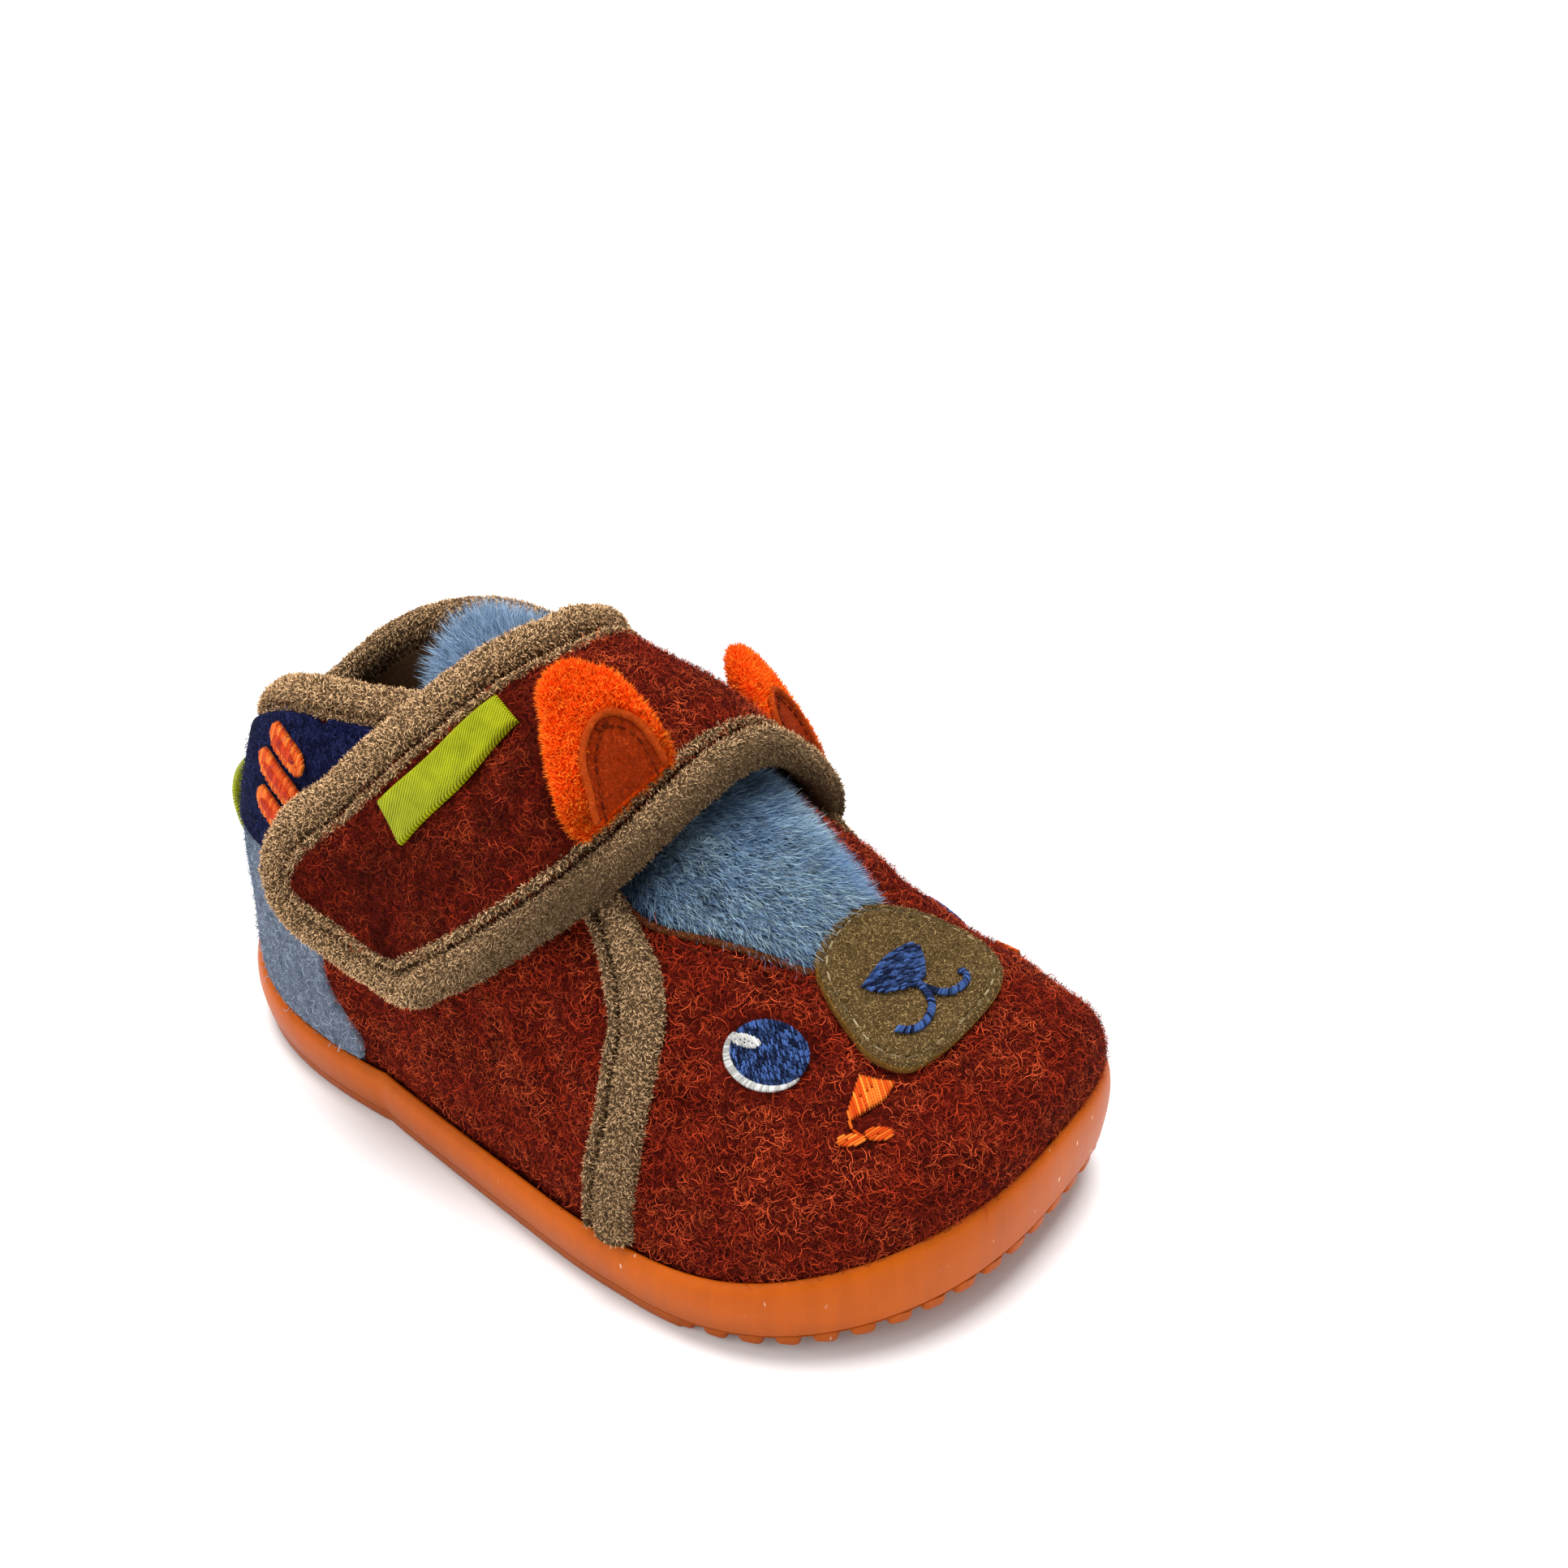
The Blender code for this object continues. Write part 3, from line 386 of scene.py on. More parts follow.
def collar_v(u, side, drop):
    """Where hoop u meets the collar's line lowered by drop. It is 0 where the hoop stays below it."""
    crown = SECTION["crown"](u)
    angle = np.radians(SECTION["angle"](u))

    def below(radius):
        line = HEEL_HEIGHT - drop + COLLAR(SECTION["pivot_x"](u) + radius * np.cos(angle))
        return FEATHER_Z + radius * np.sin(angle) < line

    share = halved(0 * crown, crown, below, 40)[1] / crown
    return np.arccos(share ** (SECTION["round_" + SIDES[side]](u) / 2)) * 2 / np.pi


def throat_v(u, side):
    """Half angle of the throat, rounded off at its tip."""
    near_tip = np.clip((u - THROAT_TIP + 0.5) / 0.5, 0.0, 1.0)
    return np.where(u >= THROAT_ROWS[0][0], THROAT[side](u) * np.sqrt(1 - near_tip**2), 0.0)


def heel_hoop(drop):
    """The first hoop that reaches the collar's line lowered by drop."""
    hoops = np.linspace(0.0, 5.0, 4001)
    return hoops[np.argmax(collar_v(hoops, -1, drop) > 0)]


def hoop_at_height(v, z):
    """The hoop of the heel on which angle v reaches height z."""
    low = np.zeros(np.shape(v))
    return halved(low, low + 4.6, lambda hoop: skin(hoop, v)[..., 2] < z, 30)[0]


def path_run(points):
    """Distance from the start of a path to each of its points."""
    return np.concatenate(([0.0], np.cumsum(np.linalg.norm(np.diff(points, axis=0), axis=1))))


def even_steps(points, step):
    """Places along a path of points, as fractional indices, at even distances."""
    run = path_run(points)
    count = max(2, int(round(run[-1] / step)) + 1)
    return np.interp(np.linspace(0.0, run[-1], count), run, np.arange(len(points)))


def pick(values, places):
    """Rows of an array at fractional indices."""
    rows = np.arange(len(values))
    if values.ndim == 1:
        return np.interp(places, rows, values)
    return np.stack([np.interp(places, rows, column) for column in values.T], -1)


def outline(out, half_steps=110):
    """Feather outline in plan, moved out: from the heel by the lateral side to the toe and back."""
    halves = []
    bend = np.linspace(0.0, 1.0, 80)
    for side in SIDES:
        flank = skin(np.linspace(*FLANK, 80), side)
        path = np.concatenate((skin(0.0, side * bend), flank, skin(LAST_HOOP, side * bend[::-1])))[:, :2]
        run = path_run(path)
        even = np.linspace(0.0, run[-1], half_steps + 1)
        halves.append(np.stack([np.interp(even, run, path[:, k]) for k in (0, 1)], -1))
    loop = np.concatenate((halves[0], halves[1][-2:0:-1]))
    tangent = unit(np.roll(loop, -1, axis=0) - np.roll(loop, 1, axis=0))
    return loop + out * np.stack((tangent[:, 1], -tangent[:, 0]), -1)


CUP_SIDE = max(row[0] for row in CUP_ROWS)
ORIGIN = np.append(outline(CUP_SIDE, 34).min(axis=0) - np.array(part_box("outsole")[0])[:2] / MM, 0.0)


def to_row(points):
    """Points on the last, in millimetres, as metres in the row frame."""
    return (np.asarray(points, float) - ORIGIN) * MM


def wobble(points, size, height, seed=0.0):
    """A gentle unevenness over points in millimetres, of a feature size and a height."""
    flat = np.asarray(points).reshape(-1, 3) / size + seed
    values = [noise.noise(Vector(point)) for point in flat]
    return height * np.reshape(values, np.shape(points)[:-1])


# Meshes and pieces

def grid_faces(rows, columns, wrap=False):
    i, j = np.meshgrid(np.arange(rows - 1), np.arange(columns if wrap else columns - 1), indexing="ij")
    k = (j + 1) % columns
    corners = (i * columns + j, (i + 1) * columns + j, (i + 1) * columns + k, i * columns + k)
    return np.stack(corners, -1).reshape(-1, 4)


def tube_faces(rows, columns):
    """Faces of a tube of rings with capped ends."""
    caps = [list(range(columns)), list(range((rows - 1) * columns, rows * columns))]
    return grid_faces(rows, columns, wrap=True).tolist() + caps


def set_values(data, name, values):
    """Stores a number or a vector for each point of a mesh."""
    flat = np.ascontiguousarray(values, dtype=np.float32).ravel()
    kind, key = ("FLOAT", "value") if len(flat) == len(data.vertices) else ("FLOAT_VECTOR", "vector")
    data.attributes.new(name, kind, "POINT").data.foreach_set(key, flat)


def build_mesh(name, points, faces, outward=False, **values):
    """A smooth mesh of points in millimetres, with values for each. Points that coincide become one."""
    data = bpy.data.meshes.new(name)
    data.from_pydata(to_row(points).tolist(), [], faces)
    for key, array in values.items():
        set_values(data, key, array)
    mesh = bmesh.new()
    mesh.from_mesh(data)
    bmesh.ops.remove_doubles(mesh, verts=mesh.verts, dist=WELD * MM)
    if outward:
        bmesh.ops.recalc_face_normals(mesh, faces=mesh.faces)
    mesh.to_mesh(data)
    mesh.free()
    data.shade_smooth()
    return data


def grid_mesh(name, grids, wrap=False, **values):
    """One mesh over grids of points."""
    faces = []
    points = np.empty((0, 3))
    for grid in grids:
        faces.append(grid_faces(*grid.shape[:2], wrap) + len(points))
        points = np.concatenate((points, grid.reshape(-1, 3)))
    return build_mesh(name, points, np.concatenate(faces).tolist(), **values)


def tube_mesh(name, rings, **values):
    """A closed tube through rings of points."""
    return build_mesh(name, rings.reshape(-1, 3), tube_faces(*rings.shape[:2]), True, **values)


def in_scene(name, data):
    made = bpy.data.objects.new(name, data)
    bpy.context.scene.collection.objects.link(made)
    return made


def add_piece(name, data, look=None, node=None):
    """An object of the shoe that rides on its body and may stand for a node."""
    piece = in_scene(name, data)
    if look:
        data.materials.clear()
        data.materials.append(LOOKS[look])
    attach(piece, "root")
    if node:
        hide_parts(node)
    return piece


def thicken(piece, thickness):
    """Gives an open sheet its thickness, inwards."""
    solidify = piece.modifiers.new("wall", "SOLIDIFY")
    solidify.thickness = thickness * MM
    solidify.offset = -1
    return solidify


def evaluated(helpers, name):
    """The mesh of the first helper with its modifiers applied. The helpers go afterwards."""
    graph = bpy.context.evaluated_depsgraph_get()
    data = bpy.data.meshes.new_from_object(helpers[0].evaluated_get(graph))
    data.name = name
    for helper in helpers:
        bpy.data.objects.remove(helper, do_unlink=True)
    return data


def sweep(points, normals, profile):
    """Rings of a profile of across and up, carried along a path on the surface."""
    tangent = unit(np.gradient(points, axis=0))
    across = unit(np.cross(tangent, normals))
    up = np.cross(across, tangent)
    return points[:, None] + across[:, None] * profile[..., :1] + up[:, None] * profile[..., 1:]


def piping(path, normals, radius):
    """Rings of a round piping along a path."""
    turn = circle(12)
    return sweep(path, normals, radius * np.stack((np.cos(turn), np.sin(turn)), -1))


# Node trees

def add_node(tree, kind, inputs=(), out=None, **settings):
    """An output of a new node. Of its inputs, sockets are linked and plain values are set."""
    made = tree.nodes.new(kind)
    for key, value in settings.items():
        setattr(made, key, value)
    live = [socket for socket in made.inputs if socket.enabled]
    for key, value in dict(inputs).items():
        target = live[key] if isinstance(key, int) else next(s for s in live if s.name == key)
        if isinstance(value, bpy.types.NodeSocket):
            tree.links.new(value, target)
        else:
            target.default_value = (*value, 1.0) if target.type == "RGBA" else value
    return made.outputs[out] if out else next(socket for socket in made.outputs if socket.enabled)


def maths(tree, operation, *values, kind="ShaderNodeMath", **settings):
    return add_node(tree, kind, dict(enumerate(values)), operation=operation, **settings)


def vector_maths(tree, operation, *values):
    return maths(tree, operation, *values, kind="ShaderNodeVectorMath")


def new_group(name, kind, inputs, outputs):
    """A group with its sockets' names listed by kind: the tree, its inputs and its outputs."""
    tree = bpy.data.node_groups.new(name, kind)
    for way, sockets in (("INPUT", inputs), ("OUTPUT", outputs)):
        for socket_kind, labels in sockets.items():
            for label in labels:
                tree.interface.new_socket(name=label, in_out=way, socket_type="NodeSocket" + socket_kind)
    return tree, tree.nodes.new("NodeGroupInput").outputs, tree.nodes.new("NodeGroupOutput").inputs


def random_value(tree, kind, low, high, seed, offset):
    """A random number or vector for each point."""
    inputs = {"Min": low, "Max": high, "Seed": maths(tree, "ADD", seed, offset)}
    return add_node(tree, "FunctionNodeRandomValue", inputs, data_type=kind)


def named_value(tree, name, kind):
    return add_node(tree, "GeometryNodeInputNamedAttribute", {"Name": name}, data_type=kind)


def place_shapes(tree, given, ends, offset, **inputs):
    """Sets a shape on each point with a random tone, makes the instances real and gives the finish."""
    inputs = {key.replace("_", " ").title(): value for key, value in inputs.items()}
    placed = add_node(tree, "GeometryNodeInstanceOnPoints", inputs)
    tone = random_value(tree, "FLOAT", 0.0, 1.0, given["Seed"], offset)
    inputs = {"Geometry": placed, "Name": "tone", "Value": tone}
    toned = add_node(tree, "GeometryNodeStoreNamedAttribute", inputs, data_type="FLOAT", domain="INSTANCE")
    real = add_node(tree, "GeometryNodeRealizeInstances", {0: toned})
    finished = add_node(tree, "GeometryNodeSetMaterial", {"Geometry": real, "Material": given["Finish"]})
    tree.links.new(finished, ends[0])
    return tree


def fibre_tree():
    """Strands set on a surface: they stand along its normal, lie along its nap and tangle."""
    sizes = ("Per square metre", "Length", "Uneven", "Width", "Upright", "Nap", "Tangle", "Spin", "Lie")
    sockets = {"Geometry": ("Surface",), "Float": sizes, "Int": ("Seed",)}
    sockets.update({"Collection": ("Strands",), "Material": ("Finish",)})
    tree, given, ends = new_group("fibre_coat", "GeometryNodeTree", sockets, {"Geometry": ("Coat",)})
    seed = given["Seed"]
    density = maths(tree, "MULTIPLY", named_value(tree, "pile", "FLOAT"), given["Per square metre"])
    inputs = {"Mesh": given["Surface"], "Density": density, "Seed": seed}
    points = add_node(tree, "GeometryNodeDistributePointsOnFaces", inputs, distribute_method="RANDOM")
    normal = points.node.outputs["Normal"]
    upright = vector_maths(tree, "SCALE", normal, given["Upright"])
    nap = vector_maths(tree, "SCALE", named_value(tree, "nap", "FLOAT_VECTOR"), given["Nap"])
    stray = random_value(tree, "FLOAT_VECTOR", (-1.0,) * 3, (1.0,) * 3, seed, 3)
    raised = maths(tree, "MULTIPLY", vector_maths(tree, "DOT_PRODUCT", stray, normal), given["Lie"])
    stray = vector_maths(tree, "SUBTRACT", stray, vector_maths(tree, "SCALE", normal, raised))
    stray = vector_maths(tree, "SCALE", stray, given["Tangle"])
    way = vector_maths(tree, "ADD", vector_maths(tree, "ADD", upright, nap), stray)
    align = "FunctionNodeAlignRotationToVector"
    stand = add_node(tree, align, {"Vector": way}, axis="Z")
    lie = add_node(tree, align, {"Rotation": stand, "Vector": normal}, axis="Y", pivot_axis="Z")
    least = maths(tree, "MULTIPLY", given["Spin"], -1.0)
    angle = random_value(tree, "FLOAT", least, given["Spin"], seed, 5)
    spin = add_node(tree, "FunctionNodeAxisAngleToRotation", {"Axis": (0.0, 0.0, 1.0), "Angle": angle})
    inputs = {"Rotation": lie, "Rotate By": spin}
    turn = add_node(tree, "FunctionNodeRotateRotation", inputs, rotation_space="LOCAL")
    shortest, longest = (maths(tree, sign, 1.0, given["Uneven"]) for sign in ("SUBTRACT", "ADD"))
    reach = random_value(tree, "FLOAT", shortest, longest, seed, 7)
    length = maths(tree, "MULTIPLY", reach, given["Length"])
    scale = add_node(tree, "ShaderNodeCombineXYZ", {"X": given["Width"], "Y": length, "Z": length})
    inputs = {"Collection": given["Strands"], "Separate Children": True, "Reset Children": True}
    shape = add_node(tree, "GeometryNodeCollectionInfo", inputs)
    return place_shapes(
        tree, given, ends, 9, points=points, instance=shape, pick_instance=True, rotation=turn, scale=scale
    )


def stitch_tree():
    """A thread on each point, along its stitch and standing up from the cloth."""
    sockets = {"Geometry": ("Places",), "Float": ("Width", "Height"), "Int": ("Seed",)}
    sockets.update({"Object": ("Thread",), "Material": ("Finish",)})
    tree, given, ends = new_group("sewn_stitches", "GeometryNodeTree", sockets, {"Geometry": ("Stitches",)})
    stitch, up = (named_value(tree, name, "FLOAT_VECTOR") for name in ("stitch", "up"))
    axes = dict(primary_axis="X", secondary_axis="Z")
    turn = add_node(tree, "FunctionNodeAxesToRotation", {0: stitch, 1: up}, **axes)
    length = vector_maths(tree, "LENGTH", stitch)
    scale = add_node(tree, "ShaderNodeCombineXYZ", {"X": length, "Y": given["Width"], "Z": given["Height"]})
    inputs = {"Object": given["Thread"], "As Instance": True}
    shape = add_node(tree, "GeometryNodeObjectInfo", inputs, "Geometry")
    spots = given["Places"]
    return place_shapes(tree, given, ends, 2, points=spots, instance=shape, rotation=turn, scale=scale)


def grown(name, base, tree, **inputs):
    """The mesh that a tree makes on a base, which goes afterwards. Inputs are named as in the tree."""
    helper = in_scene(name + "_base", base)
    modifier = helper.modifiers.new("grown", "NODES")
    modifier.node_group = tree
    for item in tree.interface.items_tree:
        key = item.name.replace(" ", "_").lower()
        if item.in_out == "INPUT" and key in inputs:
            modifier[item.identifier] = inputs[key]
    return evaluated([helper], name)


def shape_mesh(name, points, faces, along):
    """A small shape in its own units, with a value along it."""
    data = bpy.data.meshes.new(name)
    data.from_pydata(points, [], faces)
    set_values(data, "along", along)
    data.shade_smooth()
    return bpy.data.objects.new(name, data)


def plush_hairs(name, curls, segments=2):
    """Tapered strands of unit length, one for each curl. Width runs along X, the curl along Y."""
    family = bpy.data.collections.new(name)
    t = np.linspace(0.0, 1.0, segments + 1)
    half = 0.5 * (1 - 0.75 * t**2)
    faces = grid_faces(segments, 2)[:, [0, 3, 2, 1]].tolist()
    faces.append((2 * segments - 2, 2 * segments - 1, 2 * segments))
    for index, (bend, wave) in enumerate(curls):
        side = bend * np.sin(t * np.pi / 2) ** 2 + wave * np.sin(t * np.pi * 1.6)
        points = [(way * half[k], side[k], t[k]) for k in range(segments) for way in (-1, 1)]
        points.append((0.0, side[-1], 1.0))
        along = np.append(np.repeat(t[:-1], 2), 1.0)
        family.objects.link(shape_mesh(f"{name}_{index}", points, faces, along))
    return family


def flat_curls(name, turns, segments, width):
    """Flat curls of unit length that lie on the cloth, one for each angle that they turn through."""
    family = bpy.data.collections.new(name)
    t = np.linspace(0.0, 1.0, segments + 1)
    half = 0.5 * width * (1 - 0.6 * t**2)[:, None]
    rise = 0.16 * np.sin(t * np.pi) - 0.02
    for index, turned in enumerate(turns):
        heading = turned * (t - 0.5)
        step = np.stack((np.sin(heading), np.cos(heading)), -1)
        middle = np.concatenate((((0.0, 0.0),), np.cumsum((step[1:] + step[:-1]) / 2 / segments, axis=0)))
        side = np.stack((step[:, 1], -step[:, 0]), -1) * half
        edges = [np.insert(edge, 1, rise, axis=1) for edge in (middle - side, middle + side)]
        points = np.stack(edges, 1).reshape(-1, 3).tolist()
        faces = grid_faces(segments + 1, 2).tolist()
        family.objects.link(shape_mesh(f"{name}_{index}", points, faces, np.repeat(t, 2)))
    return family


def thread_shape():
    """A thread of unit length, width and height, which dips into the cloth at both ends."""
    along = np.linspace(-0.5, 0.5, 7)
    turn = np.linspace(-0.15 * np.pi, 1.15 * np.pi, 6)
    points = []
    for x in along:
        swell = np.sqrt(max(1 - (2 * x) ** 4, 0.0))
        width = 0.5 * (0.45 + 0.55 * swell)
        points += [(x, width * np.cos(a), np.sin(a) * swell - 0.35 * (1 - swell)) for a in turn]
    return shape_mesh("thread_shape", points, grid_faces(7, 6).tolist(), np.repeat(along + 0.5, 6))


# Materials

LOOKS = {}


def new_look(name, roughness, specular):
    """The tree of a new material, whose shader's plain values are set on its own sockets."""
    LOOKS[name] = bpy.data.materials.new(name)
    LOOKS[name].use_nodes = True
    tree = LOOKS[name].node_tree
    shader = tree.nodes["Principled BSDF"].inputs
    shader["Roughness"].default_value = roughness
    shader["Specular IOR Level"].default_value = specular
    return tree


def show(tree, colour, height=None, depth=0.0, strength=1.0):
    """Gives a material its colour and a bump, whose depth is in millimetres."""
    shader = tree.nodes["Principled BSDF"].inputs
    tree.links.new(colour, shader["Base Color"])
    if height:
        inputs = {"Strength": strength, "Distance": depth * MM, "Height": height}
        tree.links.new(add_node(tree, "ShaderNodeBump", inputs), shader["Normal"])


def object_place(tree, scale=(1.0, 1.0, 1.0)):
    place = add_node(tree, "ShaderNodeTexCoord", out="Object")
    return add_node(tree, "ShaderNodeMapping", {"Vector": place, "Scale": scale})


def surface_value(tree, name, out="Fac"):
    return add_node(tree, "ShaderNodeAttribute", out=out, attribute_name=name)


def noise_value(tree, place, scale, detail=2.0, roughness=0.5, distortion=0.0):
    inputs = {"Vector": place, "Scale": scale, "Detail": detail, "Roughness": roughness}
    return add_node(tree, "ShaderNodeTexNoise", {**inputs, "Distortion": distortion})


def ramp(tree, value, *stops):
    """Greys over a value: position and grey of each stop."""
    colour = add_node(tree, "ShaderNodeValToRGB", {0: value})
    elements = colour.node.color_ramp.elements
    while len(elements) < len(stops):
        elements.new(0.5)
    for element, (position, grey) in zip(elements, stops):
        element.position = position
        element.color = (grey, grey, grey, 1.0)
    return colour


def mix(tree, share, a, b, blend="MIX"):
    inputs = {"Factor": share, "A": a, "B": b}
    return add_node(tree, "ShaderNodeMix", inputs, data_type="RGBA", blend_type=blend)


def wool_group():
    """Felted wool: curly hairs over a darker ground, in clouds, and the height of the hairs."""
    scales = ("Cloud scale", "Hair scale")
    sockets = {"Vector": ("Place",), "Color": ("Dark", "Middle", "Light"), "Float": scales}
    results = {"Color": ("Colour",), "Float": ("Height",)}
    tree, given, ends = new_group("felted_wool", "ShaderNodeTree", sockets, results)
    place, hair_scale = given["Place"], given["Hair scale"]
    cloud = noise_value(tree, place, given["Cloud scale"], 3.0, 0.6, 0.4)
    depth = noise_value(tree, place, hair_scale, 3.0, 0.6, 1.0)
    hairs = 0.0
    for shift, share in ((0.013, 1.0), (0.037, 1.5), (0.071, 0.75)):
        moved = vector_maths(tree, "ADD", place, (shift, -shift, 2 * shift))
        swirl = noise_value(tree, moved, maths(tree, "MULTIPLY", hair_scale, share), 1.0, 0.4, 1.4)
        away = maths(tree, "ABSOLUTE", maths(tree, "SUBTRACT", swirl, 0.5))
        line = maths(tree, "SUBTRACT", 1.0, maths(tree, "MULTIPLY", away, 26.0), use_clamp=True)
        hairs = maths(tree, "MAXIMUM", hairs, line)
    shade = mix(tree, ramp(tree, depth, (0.36, 0), (0.62, 1)), given["Dark"], given["Middle"])
    lit = maths(tree, "MULTIPLY", hairs, ramp(tree, cloud, (0.34, 0.18), (0.62, 1)))
    tree.links.new(mix(tree, lit, shade, given["Light"]), ends["Colour"])
    tree.links.new(maths(tree, "ADD", maths(tree, "MULTIPLY", hairs, 0.4), depth), ends["Height"])
    return tree


def strand_group():
    """Colour of a strand from root to tip: more dark strands than light ones, darkened in places by its dim
    value: painted shade and darker patches.
    """
    sockets = {"Color": ("Root", "Dark tip", "Light tip"), "Float": ("Root end",)}
    tree, given, ends = new_group("strand_shade", "ShaderNodeTree", sockets, {"Color": ("Colour",)})
    tone = maths(tree, "POWER", surface_value(tree, "tone"), 1.8)
    tip = mix(tree, tone, given["Dark tip"], given["Light tip"])
    reach = maths(tree, "DIVIDE", surface_value(tree, "along"), given["Root end"], use_clamp=True)
    shade = mix(tree, reach, given["Root"], tip)
    # dim darkens the strand towards black: painted shade, and darker patches at random
    tree.links.new(mix(tree, surface_value(tree, "dim"), shade, (0.0, 0.0, 0.0)), ends["Colour"])
    return tree


FELTED_WOOL = wool_group()
STRAND_SHADE = strand_group()


def felt_look(name, dark, middle, light, cloud=200.0, hair=650.0, bump=0.4):
    tree = new_look(name, 0.95, 0.03)
    inputs = {"Place": object_place(tree), "Dark": dark, "Middle": middle, "Light": light}
    inputs.update({"Cloud scale": cloud, "Hair scale": hair})
    colour = add_node(tree, "ShaderNodeGroup", inputs, node_tree=FELTED_WOOL)
    show(tree, colour, colour.node.outputs["Height"], bump)


def strand_look(name, root, dark_tip, light_tip, root_end=0.5, roughness=0.75, cloud=None, scale=0.0):
    """Cloud is a second light tip that comes and goes over the surface, with its feature scale."""
    tree = new_look(name, roughness, 0.04)
    if cloud:
        patches = ramp(tree, noise_value(tree, object_place(tree), scale), (0.42, 0), (0.60, 1))
        light_tip = mix(tree, patches, light_tip, cloud)
    inputs = {"Root": root, "Dark tip": dark_tip, "Light tip": light_tip, "Root end": root_end}
    show(tree, add_node(tree, "ShaderNodeGroup", inputs, node_tree=STRAND_SHADE))


def thread_look(name, dark, light, roughness=0.4, shine=0.15):
    """Embroidery thread with its twist, and painted shade at both ends where it sinks into the cloth."""
    tree = new_look(name, roughness, shine)
    shade = mix(tree, maths(tree, "POWER", surface_value(tree, "tone"), 1.8), dark, light)
    along = surface_value(tree, "along")
    twist = maths(tree, "SINE", maths(tree, "MULTIPLY", along, 60.0))
    # Painted shade: the thread darkens at both ends, where it sinks into the cloth
    ends = ramp(tree, along, (0.0, 0.35), (0.16, 1), (0.84, 1), (1.0, 0.35))
    show(tree, mix(tree, 1.0, shade, ends, blend="MULTIPLY"), twist, 0.04)


def ribbon_look(name, dark, light):
    """Satin ribbon with slanting ribs. The attribute run holds millimetres along and across."""
    tree = new_look(name, 0.45, 0.12)
    run = add_node(tree, "ShaderNodeSeparateXYZ", {0: surface_value(tree, "run", "Vector")}).node.outputs
    slant = maths(tree, "ADD", run["X"], maths(tree, "MULTIPLY", run["Y"], 0.9))
    rib = maths(tree, "SINE", maths(tree, "MULTIPLY", slant, 2 * np.pi / 0.62))
    weft = maths(tree, "SINE", maths(tree, "MULTIPLY", run["Y"], 2 * np.pi / 0.3))
    height = maths(tree, "ADD", rib, maths(tree, "MULTIPLY", weft, 0.2))
    tone = maths(tree, "ADD", maths(tree, "MULTIPLY", height, 0.42), 0.5)
    patch = maths(tree, "SUBTRACT", noise_value(tree, object_place(tree), 400.0, 3.0), 0.5)
    show(tree, mix(tree, maths(tree, "ADD", tone, patch, use_clamp=True), dark, light), height, 0.06)


def rubber_look(name, dark, light, scuff):
    """Gum rubber: warm, slightly cloudy, with drag lines, fine grain, pale scuffs and painted shade low
    down.
    """
    tree = new_look(name, 0.42, 0.10)
    place = object_place(tree)
    drag = noise_value(tree, object_place(tree, (420.0, 420.0, 28.0)), 1.0, 3.0, 0.6)
    colour = mix(tree, noise_value(tree, place, 70.0, 3.0), dark, light)
    colour = mix(tree, 0.35, colour, ramp(tree, drag, (0.35, 0.72), (0.62, 1.0)), blend="MULTIPLY")
    z = add_node(tree, "ShaderNodeSeparateXYZ", {0: place}, "Z")
    # Painted shade: the colour darkens towards the ground
    low = maths(tree, "DIVIDE", z, 9.0 * MM, use_clamp=True)
    colour = mix(tree, 1.0, colour, ramp(tree, low, (0.0, 0.55), (0.9, 1.0)), blend="MULTIPLY")
    nicks = noise_value(tree, object_place(tree, (1300.0, 1300.0, 420.0)), 1.0, 1.0)
    nicks = ramp(tree, nicks, (0.75, 0), (0.77, 1))
    worn = ramp(tree, noise_value(tree, place, 45.0), (0.58, 0), (0.64, 0.8))
    colour = mix(tree, maths(tree, "MULTIPLY", nicks, worn), colour, scuff)
    rough = add_node(tree, "ShaderNodeMapRange", {"Value": drag, "To Min": 0.34, "To Max": 0.52})
    tree.links.new(rough, tree.nodes["Principled BSDF"].inputs["Roughness"])
    grain = maths(tree, "ADD", drag, maths(tree, "MULTIPLY", noise_value(tree, place, 2600.0), 0.35))
    show(tree, colour, grain, 0.10, 0.8)


def lining_look(name, dark, light):
    """Brushed textile lining with a fine knit."""
    tree = new_look(name, 0.95, 0.1)
    knit = noise_value(tree, object_place(tree), 1500.0, 3.0, 0.6, 0.8)
    show(tree, mix(tree, knit, dark, light), knit, 0.2)


def floor_look(name, dark, light):
    tree = new_look(name, 0.7, 0.5)
    show(tree, mix(tree, noise_value(tree, object_place(tree), 3.0), dark, light))


